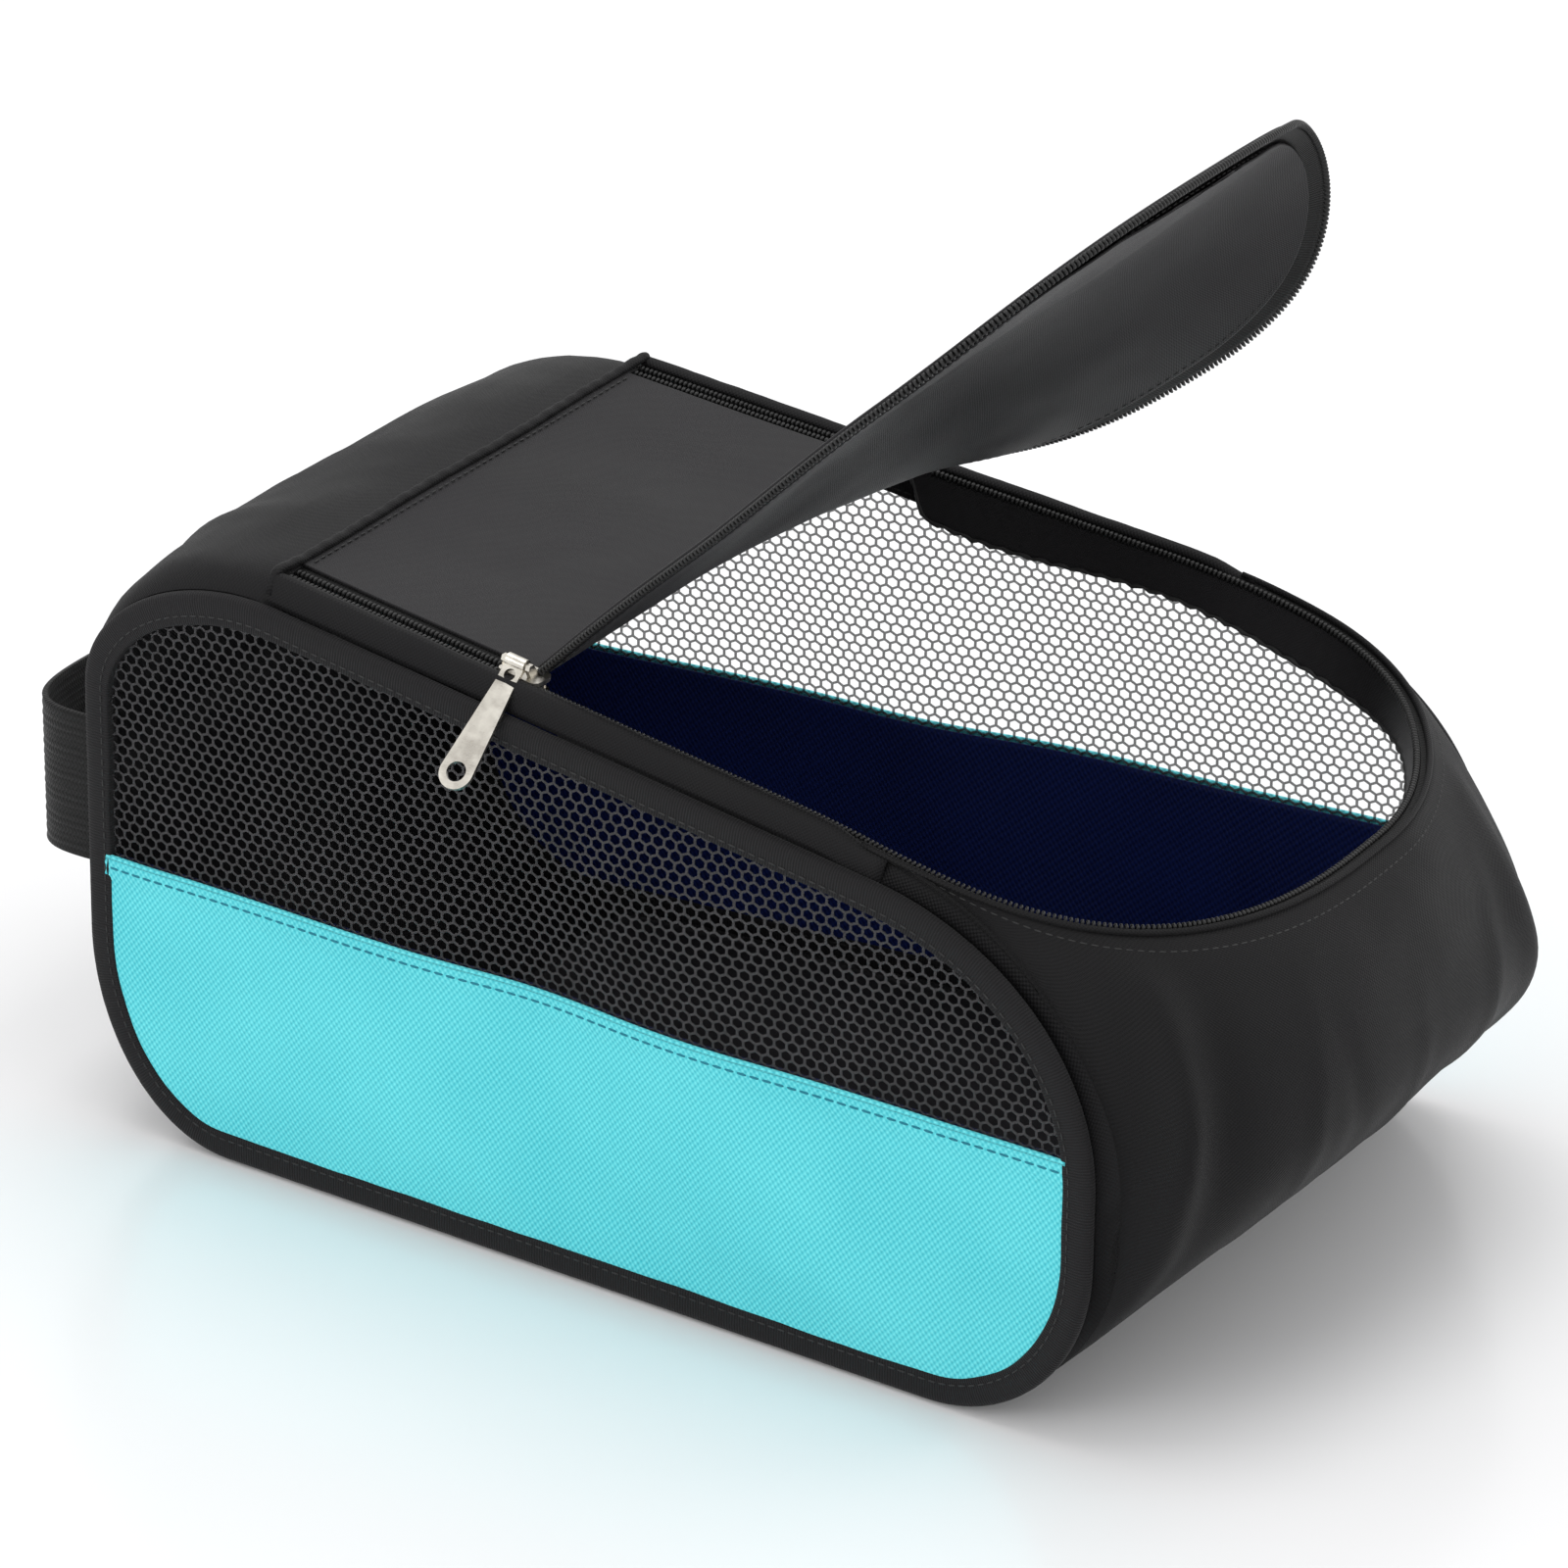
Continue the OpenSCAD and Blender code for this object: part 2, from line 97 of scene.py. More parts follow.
# Measures of the looks only, in millimetres
RIM_DIP = 7  # how far the open toe rim sags
TUCK = 1.1  # how far the end cloths' sides reach into the binding
SIDE_OUT = 1.35  # cyan and navy cloth, either way from a side panel's middle plane
MESH_X, MESH_Z = 4.0, 3.0  # mesh holes, apart along and up the side
HOLE_SHARE = 0.80  # a hole's width, as a share of the space between yarns' middles
TOOTH_STEP, TOOTH_L = 1.5, 1.12  # turns of the zip coil: apart, and how long each is
STITCH_STEP, STITCH = 3.2, (2.1, 0.5, 0.42)  # black stitches: apart, then length, width and height


def half_w(x):
    """From the bag's middle to a side panel's middle plane."""
    return MID_W + x * math.tan(FLARE)


def inner_w(x):
    """From the bag's middle to the inner face of the binding."""
    return half_w(x) - BINDING_T / 2


def top_z(x):
    """Height of the side panels' straight top edge."""
    return HEEL_H - (x - HEEL_TOP_C[0]) * math.tan(SLOPE)


def along(x):
    """Distance down the top slope from the cross seam."""
    return (x - SEAM_X) / math.cos(SLOPE)


FOLD_L, CORNER_L = along(FOLD_X), along(CORNER_X)


def smooth(t):
    """From 0 to 1 with a soft start and end."""
    t = np.clip(t, 0, 1)
    return t * t * (3 - 2 * t)


def hill(t, middle, width):
    """A smooth bump, 1 at the middle."""
    return np.exp(-((np.asarray(t) - middle) / width) ** 2)


def settle(p):
    """The open toe rim's own weight: it dips, and its far corner draws back."""
    p = np.array(p, float)
    high = smooth((p[..., 2] - 70) / 60)
    p[..., 2] -= RIM_DIP * high * smooth((p[..., 0] - 70) / 110)
    p[..., 0] -= 6 * high * smooth((p[..., 0] - 120) / 60) * smooth((p[..., 1] - 10) / 70)
    return p


def on_top(l, y, h):
    """A point l down the top slope, y across it and h above its plane."""
    l, y, h = np.broadcast_arrays(np.asarray(l, float), y, h)
    return np.stack([SEAM_X + l * math.cos(SLOPE) + h * math.sin(SLOPE), y,
                     top_z(SEAM_X) + RISE - l * math.sin(SLOPE) + h * math.cos(SLOPE)], -1)


# The lid turns out of its closed plane round the fold. A point d out along the raised lid and y across
# makes smooth(TURN_0 + TURN_D * d + TURN_Y * y) of the turn, so the far side leaves the fold later.
TURN_0, TURN_D, TURN_Y = 0.72, 0.00222, -0.0036
FOLD_POINT = Vector(on_top(FOLD_L, 0, 0) * MM)
LID_WAY = Vector(on_top(FOLD_L + math.cos(LID_OPEN), 0, math.sin(LID_OPEN)) - on_top(FOLD_L, 0, 0))


def lid_point(l, y, h):
    """Where a point of the closed lid goes when the lid is raised, with its dents and longer tip."""
    l, y, h = (np.array(a, float) for a in np.broadcast_arrays(l, y, h))
    d = l - FOLD_L
    tip = np.clip(d / 210, 0, 1)
    h = h - RIM_DIP * smooth((d - 90) / 115) + 1.5 * np.sin(tip * math.pi) * (1 - (y / 105) ** 2)
    h = h - 3.0 * hill(d, 95, 45) * smooth((-y - 20) / 70) + 2.5 * smooth((d - 150) / 60)
    d = d + 8 * tip ** 2
    y = y + 5 * tip ** 2
    lo, hi = np.zeros(d.shape), np.ones(d.shape)
    for _ in range(40):
        w = (lo + hi) / 2
        turn = LID_OPEN * (1 - w)
        t = TURN_0 + TURN_D * (d * np.cos(turn) + h * np.sin(turn)) + TURN_Y * y
        rise = smooth(t) > w
        lo, hi = np.where(rise, w, lo), np.where(rise, hi, w)
    a = LID_OPEN * (lo + hi) / 2
    return on_top(FOLD_L + d * np.cos(a) - h * np.sin(a), y, d * np.sin(a) + h * np.cos(a))


def root_point(l, y, h):
    """A point of the body on the top slope, with the rim's sag."""
    return settle(on_top(l, y, h))


# ---- Curves ----
def arc(c, r, a0, a1, n=12):
    """Points of an ellipse round c from a0 to a1 degrees, in n steps."""
    a = np.radians(np.linspace(a0, a1, n + 1))
    return np.stack([c[0] + r[0] * np.cos(a), c[1] + r[1] * np.sin(a)], -1)


def spread(p, n=None, step=None):
    """n points, or points a step apart, spread evenly along a path."""
    p = np.asarray(p, float)
    s = np.r_[0, np.cumsum(np.linalg.norm(np.diff(p, axis=0), axis=1))]
    n = n or int(round(s[-1] / step)) + 1
    at = np.linspace(0, s[-1], n)
    return np.stack([np.interp(at, s, p[:, k]) for k in range(p.shape[1])], -1)


def ease(p, times):
    """A path with its corners rounded off; its ends stay."""
    for _ in range(times):
        p[1:-1] = p[1:-1] * 0.5 + (p[:-2] + p[2:]) * 0.25
    return p


def normals(p, closed=False):
    """Unit normal on the left of each point of a flat path."""
    if closed:
        d = np.roll(p, -1, 0) - np.roll(p, 1, 0)
    else:
        d = np.gradient(p, axis=0)
    d = d / np.linalg.norm(d, axis=1)[:, None]
    return np.stack([-d[:, 1], d[:, 0]], -1)


def zip_line(step=2.0):
    """Middle of the zip in the lid's plane: left seam end, round the toe, right seam end."""
    a = np.radians(np.linspace(90, 0, 181))
    front = np.stack([CORNER_L + FRONT_L * np.cos(a) ** (2 / FRONT_N),
                      (half_w(CORNER_X) - ZIP_INSET) * np.sin(a) ** (2 / FRONT_N)], -1)
    half = np.vstack([[[0, half_w(SEAM_X) - ZIP_INSET]], front])
    return spread(np.vstack([half, half[-2::-1] * [1, -1]]), step=step)


def ring(off, step=2.0, start=0.0):
    """The zip's middle line moved out by off, and only past start."""
    p = zip_line(step)
    p = p + off * normals(p)
    return p[p[:, 0] >= start]


def side_outline(inset, n=14):
    """Outline of a side panel moved in by inset, with n steps round each corner."""
    def r(pair):
        return (pair[0] - inset, pair[1] - inset)
    turn = 90 - math.degrees(SLOPE)
    return np.vstack([arc(HEEL_LOW_C, r(HEEL_LOW_R), 180, 270, n), arc(TOE_LOW_C, r(TOE_LOW_R), 270, 360, n),
                      arc(TOE_TOP_C, r(TOE_TOP_R), 0, turn, n), arc(HEEL_TOP_C, r(HEEL_TOP_R), turn, 180, n)])


def side_point(s, x, z, out):
    """A point of a side panel, out from its middle plane. s is -1 on the right, 1 on the left."""
    x, z, out = np.broadcast_arrays(np.asarray(x, float), z, out)
    return np.stack([x * math.cos(FLARE) - out * math.sin(FLARE),
                     s * (MID_W + x * math.sin(FLARE) + out * math.cos(FLARE)), z], -1)


OUTLINE = spread(np.vstack([side_outline(0), side_outline(0)[:1]]), 400)


def edge_distance(x, z):
    """How far points of a side panel lie from its outline."""
    q = np.stack([np.ravel(x), np.ravel(z)], -1)
    return np.sqrt(((q[:, None] - OUTLINE[None]) ** 2).sum(-1).min(1)).reshape(np.shape(x))


def rough(p, size, seed=0.0):
    """Smooth noise from -1 to 1 at each point, with bumps of about that size in millimetres."""
    q = np.asarray(p, float).reshape(-1, 3) / size + seed
    return np.array([noise.noise(Vector(v)) for v in q]).reshape(np.shape(p)[:-1])


# ---- Meshes ----
def make(name, verts, faces, mat, body, slot, stands_for=(), uv=None, solid=0.0):
    """A piece from points in millimetres. uv is one pair per vertex, in millimetres of cloth. A solid
    above 0 is a thickness half each way, and below 0 it is all on the far side of the face."""
    mesh = bpy.data.meshes.new(name)
    mesh.from_pydata((np.asarray(verts, float) * MM).tolist(), [], [list(map(int, f)) for f in faces])
    if uv is not None:
        layer = mesh.uv_layers.new(name="cloth")
        index = np.empty(len(mesh.loops), np.int32)
        mesh.loops.foreach_get("vertex_index", index)
        layer.data.foreach_set("uv", (np.asarray(uv, float) * MM)[index].ravel().astype(np.float32))
    mesh.polygons.foreach_set("use_smooth", [True] * len(mesh.polygons))
    mesh.materials.append(mat)
    mesh.validate()
    obj = bpy.data.objects.new(name, mesh)
    bpy.context.scene.collection.objects.link(obj)
    if solid:
        thick = obj.modifiers.new("thickness", "SOLIDIFY")
        thick.thickness = abs(solid) * MM
        thick.offset = 0 if solid > 0 else -1
        thick.use_even_offset = False
    if body == "lid":
        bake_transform(obj)
    else:
        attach(obj, body)
    if stands_for:
        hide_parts(*stands_for)
    return obj


def grid_faces(rows, cols, closed=False):
    """Quads between neighbours in rows of cols points, round to the first if closed."""
    i, j = np.meshgrid(np.arange(rows - 1), np.arange(cols if closed else cols - 1), indexing="ij")
    a, b = i * cols + j, i * cols + (j + 1) % cols
    return np.stack([a, b, b + cols, a + cols], -1).reshape(-1, 4)


def grid(name, pts, mat, body, slot, uv=None, flip=False, **more):
    """A piece from a grid of points. Its cloth runs along rows and columns."""
    pts = np.asarray(pts, float)
    rows, cols = pts.shape[:2]
    if uv is None:
        across = np.r_[0, np.cumsum(np.linalg.norm(np.diff(pts, axis=1), axis=2).mean(0))]
        down = np.r_[0, np.cumsum(np.linalg.norm(np.diff(pts, axis=0), axis=2).mean(1))]
        uv = np.stack(np.meshgrid(across, down), -1)
    faces = grid_faces(rows, cols)
    if flip:
        faces = faces[:, ::-1]
    return make(name, pts.reshape(-1, 3), faces, mat, body, slot, uv=np.asarray(uv).reshape(-1, 2), **more)


def push(pts, amount):
    """Moves a grid's points along its own normals."""
    du, dv = np.gradient(pts, axis=1), np.gradient(pts, axis=0)
    n = np.cross(du, dv)
    n /= np.maximum(np.linalg.norm(n, axis=-1, keepdims=True), 1e-9)
    return pts + n * np.asarray(amount)[..., None]


def tube(name, path, radius, mat, body, slot, sides=10, squash=1.0, **more):
    """A round piece along a path of points."""
    path = np.asarray(path, float)
    t = np.gradient(path, axis=0)
    t /= np.linalg.norm(t, axis=1)[:, None]
    ref = np.array([0, 0, 1.0]) if abs(t[len(t) // 2][2]) < 0.8 else np.array([1.0, 0, 0])
    u = np.cross(t, ref)
    u /= np.linalg.norm(u, axis=1)[:, None]
    w = np.cross(u, t)
    a = np.linspace(0, 2 * math.pi, sides, endpoint=False)
    r = np.broadcast_to(radius, len(path))[:, None, None]
    pts = path[:, None] + r * (np.cos(a)[None, :, None] * u[:, None]
                               + squash * np.sin(a)[None, :, None] * w[:, None])
    faces = [list(f) for f in grid_faces(len(path), sides, True)]
    faces += [list(range(sides))[::-1], [(len(path) - 1) * sides + k for k in range(sides)]]
    s = np.r_[0, np.cumsum(np.linalg.norm(np.diff(path, axis=0), axis=1))]
    uv = np.stack(np.meshgrid(a, s), -1).reshape(-1, 2)
    return make(name, pts.reshape(-1, 3), faces, mat, body, slot, uv=uv, **more)


BEAD_RINGS = ((-0.5, 0.55), (-0.28, 1.0), (0.28, 1.0), (0.5, 0.55))


def beads(name, centres, forward, outward, upward, size, mat, body, slot, **more):
    """Many small rounded blocks in one piece: zip teeth or stitches. size is length, width, height."""
    sides = 8
    a = np.linspace(0, 2 * math.pi, sides, endpoint=False) + math.pi / sides
    block = np.array([(k * size[0], r * size[1] / 2 * np.sign(math.cos(b)) * abs(math.cos(b)) ** 0.7,
                       r * size[2] / 2 * np.sign(math.sin(b)) * abs(math.sin(b)) ** 0.7)
                      for k, r in BEAD_RINGS for b in a])
    rings = len(BEAD_RINGS)
    faces = [list(f) for f in grid_faces(rings, sides, True)]
    faces += [list(range(sides))[::-1], [(rings - 1) * sides + k for k in range(sides)]]
    centres, forward, outward, upward = (np.asarray(v, float) for v in (centres, forward, outward, upward))
    pts = (centres[:, None] + block[None, :, :1] * forward[:, None] + block[None, :, 1:2] * outward[:, None]
           + block[None, :, 2:] * upward[:, None])
    n = len(block)
    every = [[v + k * n for v in f] for k in range(len(centres)) for f in faces]
    apart = np.repeat(np.arange(len(centres))[:, None] * [1.7, 0.3], n, 0)
    uv = np.tile(block[:, :2], (len(centres), 1)) + apart
    return make(name, pts.reshape(-1, 3), every, mat, body, slot, uv=uv, **more)


def axes(p3, lifted):
    """Directions along a path, across it and up from it, from the path and the same path lifted."""
    f = np.gradient(p3, axis=0)
    f /= np.linalg.norm(f, axis=1)[:, None]
    u = lifted - p3
    u /= np.linalg.norm(u, axis=1)[:, None]
    o = np.cross(u, f)
    return f, o, u


# ---- Materials ----
class Nodes:
    """Short names for building one material's nodes."""

    def __init__(self, name):
        self.mat = bpy.data.materials.new(name)
        self.mat.use_nodes = True
        self.tree = self.mat.node_tree
        self.bsdf = self.tree.nodes["Principled BSDF"]
        self.uv = self.add("ShaderNodeUVMap", uv_map="cloth").outputs[0]

    def add(self, kind, **values):
        node = self.tree.nodes.new(kind)
        for k, v in values.items():
            setattr(node, k, v)
        return node

    def link(self, value, socket):
        if isinstance(value, bpy.types.NodeSocket):
            self.tree.links.new(value, socket)
        else:
            socket.default_value = value

    def calc(self, op, *values):
        node = self.add("ShaderNodeMath", operation=op)
        for k, v in enumerate(values):
            self.link(v, node.inputs[k])
        return node.outputs[0]

    def mix(self, share, a, b):
        node = self.add("ShaderNodeMix", data_type="RGBA")
        for k, v in ((0, share), (6, a), (7, b)):
            self.link(v, node.inputs[k])
        return node.outputs[2]

    def noise(self, scale, detail=3.0, vector=None):
        node = self.add("ShaderNodeTexNoise")
        self.link(vector or self.uv, node.inputs["Vector"])
        node.inputs["Scale"].default_value = scale
        node.inputs["Detail"].default_value = detail
        return node.outputs["Fac"]

    def span(self, value, lo, hi, a=0.0, b=1.0):
        node = self.add("ShaderNodeMapRange")
        for k, v in enumerate((value, lo, hi, a, b)):
            self.link(v, node.inputs[k])
        return node.outputs[0]

    def bump(self, height, metres, under=None):
        node = self.add("ShaderNodeBump")
        node.inputs["Strength"].default_value = 1.0
        node.inputs["Distance"].default_value = metres
        self.link(height, node.inputs["Height"])
        if under is not None:
            self.link(under, node.inputs["Normal"])
        return node.outputs[0]

    def wave(self, value, pitch):
        return self.calc("SINE", self.calc("MULTIPLY", value, 2 * math.pi / pitch))

    def finish(self, colour, roughness, normal=None, **fixed):
        self.link(colour, self.bsdf.inputs["Base Color"])
        self.link(roughness, self.bsdf.inputs["Roughness"])
        if normal is not None:
            self.link(normal, self.bsdf.inputs["Normal"])
        for k, v in fixed.items():
            self.bsdf.inputs[k.replace("_", " ")].default_value = v
        return self.mat


def grey(v, tint=(1, 1, 1)):
    """An even colour v bright, times a tint."""
    return (v * tint[0], v * tint[1], v * tint[2], 1)


def cloth(name, dark, light, pitch, depth, rough_lo, rough_hi, sheen, blotch=0.35, twill=0.0, skew=1.0):
    """Woven cloth: threads over and under each other, uneven dye and a little fuzz."""
    n = Nodes(name)
    xyz = n.add("ShaderNodeSeparateXYZ")
    n.link(n.uv, xyz.inputs[0])
    u, v = xyz.outputs[0], xyz.outputs[1]
    wobble = n.calc("MULTIPLY", n.calc("SUBTRACT", n.noise(260, 2), 0.5), pitch * 0.5)
    u2, v2 = n.calc("ADD", u, wobble), n.calc("ADD", n.calc("ADD", v, wobble), n.calc("MULTIPLY", u, twill))
    over = n.calc("MULTIPLY", n.wave(u2, 2 * pitch), n.wave(v2, 2 * pitch * skew))
    rib = n.calc("MULTIPLY", n.wave(v2, pitch * skew), 0.12)
    height = n.span(n.calc("ADD", over, rib), -1.1, 1.1)
    grain = n.noise(1900, 2)
    patch = n.span(n.noise(14, 4), 0.3, 0.7)
    shade = n.calc("ADD", n.calc("MULTIPLY", height, 1 - blotch), n.calc("MULTIPLY", patch, blotch))
    colour = n.mix(n.calc("MULTIPLY", shade, n.span(grain, 0.2, 0.8, 0.8, 1.1)), dark, light)
    normal = n.bump(height, depth, n.bump(grain, 0.00004))
    roughness = n.span(n.calc("ADD", patch, grain), 0.4, 1.6, rough_lo, rough_hi)
    return n.finish(colour, roughness, normal, Sheen_Weight=sheen, Sheen_Roughness=0.45,
                    Specular_IOR_Level=0.18)


def ribbed(name, dark, light, pitch, depth, rough_lo, rough_hi, across=0, sheen=0.3, cross=0.35):
    """Knitted or woven tape: ribs one way, finer stitches the other."""
    n = Nodes(name)
    xyz = n.add("ShaderNodeSeparateXYZ")
    n.link(n.uv, xyz.inputs[0])
    a, b = xyz.outputs[across], xyz.outputs[1 - across]
    wobble = n.calc("MULTIPLY", n.calc("SUBTRACT", n.noise(300, 2), 0.5), pitch)
    ribs = n.wave(n.calc("ADD", a, n.calc("MULTIPLY", wobble, 0.4)), pitch)
    loops = n.wave(n.calc("ADD", b, n.calc("MULTIPLY", ribs, pitch * 0.2)), pitch * 0.6)
    height = n.span(n.calc("ADD", ribs, n.calc("MULTIPLY", loops, cross)), -1.3, 1.3)
    grain = n.noise(2200, 2)
    patch = n.span(n.noise(22, 3), 0.3, 0.7)
    shade = n.calc("ADD", n.calc("MULTIPLY", height, 0.7), n.calc("MULTIPLY", patch, 0.3))
    colour = n.mix(n.calc("MULTIPLY", shade, n.span(grain, 0.2, 0.8, 0.75, 1.1)), dark, light)
    normal = n.bump(height, depth, n.bump(grain, 0.00005))
    roughness = n.span(n.calc("ADD", patch, grain), 0.4, 1.6, rough_lo, rough_hi)
    return n.finish(colour, roughness, normal, Sheen_Weight=sheen, Sheen_Roughness=0.4,
                    Specular_IOR_Level=0.18)


def plastic(name, dark, light, rough_lo, rough_hi, **more):
    """Nylon yarn, thread or zip coil: smooth, a little mottled."""
    n = Nodes(name)
    grain, patch = n.noise(900, 3), n.noise(60, 3)
    return n.finish(n.mix(patch, dark, light), n.span(grain, 0.25, 0.75, rough_lo, rough_hi),
                    n.bump(grain, 0.00003), Specular_IOR_Level=0.35, **more)


def nickel():
    """Plated zip metal, cloudy and finely scratched along X."""
    n = Nodes("warm_nickel")
    place = n.add("ShaderNodeTexCoord").outputs["Object"]
    stretch = n.add("ShaderNodeMapping")
    n.link(place, stretch.inputs[0])
    stretch.inputs["Scale"].default_value = (0.25, 3, 3)
    scratch = n.noise(1500, 3, stretch.outputs[0])
    cloud = n.noise(160, 3, place)
    colour = n.mix(n.span(cloud, 0.35, 0.65), (0.50, 0.47, 0.42, 1), (0.72, 0.69, 0.62, 1))
    roughness = n.span(n.calc("ADD", scratch, cloud), 0.6, 1.4, 0.22, 0.42)
    return n.finish(colour, roughness, n.bump(scratch, 0.00002), Metallic=1.0)


# Cloth: dark and light thread, thread pitch and depth in metres, roughness range, sheen
BLACK_CLOTH = cloth("black_nylon", grey(0.0025), grey(0.010, (1, 0.95, 1.08)), 0.0006, 0.00014, 0.5, 0.72,
                    0.02)
TOP_CLOTH = cloth("charcoal_nylon", grey(0.009), grey(0.023, (1, 0.93, 1.06)), 0.0005, 0.0001, 0.5, 0.68,
                  0.05)
LINING = cloth("charcoal_lining", grey(0.008), grey(0.020, (1, 0.92, 1.05)), 0.0005, 0.0001, 0.42, 0.6, 0.05)
CYAN = cloth("cyan_weave", (0.03, 0.47, 0.56, 1), (0.22, 0.89, 0.93, 1), 0.00095, 0.00028, 0.55, 0.8, 0.05,
             blotch=0.2, twill=0.12, skew=1.25)
NAVY = cloth("navy_weave", (0.001, 0.003, 0.026, 1), (0.004, 0.016, 0.13, 1), 0.00105, 0.00025, 0.55, 0.8,
             0.02, blotch=0.3, twill=0.35, skew=1.25)
NET = plastic("mesh_yarn", grey(0.030), grey(0.075, (1, 0.97, 1.05)), 0.45, 0.65, Alpha=0.62)
KNIT = ribbed("binding_knit", grey(0.004), grey(0.019, (1, 0.95, 1.05)), 0.0009, 0.00022, 0.55, 0.8, 1, 0.05)
TAPE = ribbed("zip_tape_weave", grey(0.004), grey(0.014), 0.0010, 0.00015, 0.5, 0.7, 0, 0.05)
WEBBING = ribbed("webbing_rib", grey(0.004), grey(0.018), 0.0022, 0.0004, 0.5, 0.72, 0, 0.05, 0.5)
COIL = plastic("zip_coil_nylon", grey(0.006), grey(0.018), 0.28, 0.45)
THREAD = plastic("black_thread", grey(0.012), grey(0.035), 0.5, 0.7)
CYAN_THREAD = plastic("teal_thread", (0.004, 0.14, 0.20, 1), (0.010, 0.24, 0.32, 1), 0.5, 0.7)
METAL = nickel()

# ---- Toe, heel and base cloth ----
CREASES = (  # share of the half width, height, lean, width, height spread, how far out
    (-0.865, 96, 0.0012, 0.045, 40, -8.5),
    (-0.77, 104, 0.0010, 0.05, 30, 1.6),
    (-0.52, 84, 0.0014, 0.03, 34, -1.0),
    (-0.36, 92, -0.0012, 0.035, 30, 0.8),
    (-0.05, 70, 0.0010, 0.04, 34, -0.8),
    (0.36, 80, 0.0018, 0.04, 36, -1.0),
    (0.62, 96, -0.0010, 0.07, 44, -3.2),
)


def crown(v):
    """Rise of the top cloth above the side panels at share v of the half width."""
    return RISE * (1 - abs(v) ** 30)


def toe_path(v, e):
    """Path of the toe cloth at share v of the half width, from the base to its rim point e."""
    k = 1 - v ** 4
    r = TOE_TOP_R[0] - RIM_TIGHTER * k
    c = (TOE_TOP_C[0] + (TOE_BULGE + RIM_TIGHTER) * k, TOE_TOP_C[1])
    t = np.linspace(0, 1, 25)
    low_x, far_x = BASE_FRONT + TOE_FLAT, BAG_L / 2 + TOE_BULGE
    middle = np.stack([low_x + (far_x - low_x) * (1 - (1 - t) ** TOE_ROUND), TOE_TOP_C[1] * t], -1)
    under = arc(TOE_LOW_C, TOE_LOW_R, 270, 360, 24) * (1 - k) + middle * k
    past = e[0] > c[0]
    u = (e[0] - c[0]) / r
    h = (e[1] - c[1]) / math.sqrt(1 - u * u) if past else top_z(c[0]) + crown(v) - c[1]
    over = arc(c, (r, h), 0, math.degrees(math.acos(u)) if past else 90)
    return np.vstack([[[BASE_FRONT, 0]], under, over] + ([] if past else [[e]]))


def toe_cloth():
    """The big end cloth, from the base round the toe to the zip, with its dents and its rolled rim."""
    edge = ring(CLOTH_GAP + 0.3, 1.0, CORNER_L - 6)
    rim = spread(edge[::-1], 91)
    rim3 = on_top(rim[:, 0], rim[:, 1], 0.2)
    vs = np.clip(rim3[:, 1] / (inner_w(rim3[:, 0]) + TUCK), -1, 1)
    shoulder = on_top(CORNER_L - 6, -half_w(CORNER_X) + BINDING_T / 2 - 0.4, -RISE + 1)
    columns = []
    for v, e in [(-1, shoulder)] + list(zip(vs, rim3)) + [(1, shoulder)]:
        p = ease(spread(toe_path(v, (e[0], e[2])), 64), 10)
        columns.append(np.stack([p[:, 0], v * (inner_w(p[:, 0]) + TUCK), p[:, 1]], -1))
    pts = np.array(columns).transpose(1, 0, 2)
    v = pts[..., 1] / inner_w(pts[..., 0])
    z = pts[..., 2]
    amount = 1.0 * rough(pts, 60, 3.1) + 0.35 * rough(pts, 15, 8.2)
    for mid, height, lean, width, tall, deep in CREASES:
        amount = amount + deep * hill(v, mid + lean * (z - height), width) * hill(z, height, tall)
    rows = np.linspace(0, 1, pts.shape[0])[:, None]
    hold = smooth(rows / 0.12) * smooth((1 - rows) / 0.10) * smooth((1 - np.abs(v)) / 0.07)
    pts = push(pts, -amount * hold)
    pts[..., 2] = np.maximum(pts[..., 2], 0.0)
    pts = settle(pts)
    obj = grid("toe_cloth", pts, BLACK_CLOTH, "root", "body_cloth", solid=-1.3, stands_for=["toe_panel"])
    outer = push(pts, np.full(pts.shape[:2], -1.0))
    edge = tube("toe_rim_edge", pts[-1, 1:-1] + [0, 0, 0.1], 0.95, BLACK_CLOTH, "root", "body_cloth", sides=8)
    at, at_up = spread(pts[-3, 1:-1], 110), spread(outer[-3, 1:-1], 110)
    f, o, u = axes(at, at_up)
    stitches = beads("toe_rim_stitches", at + u * 0.1, f, o, u, STITCH, THREAD, "root", "body_cloth")


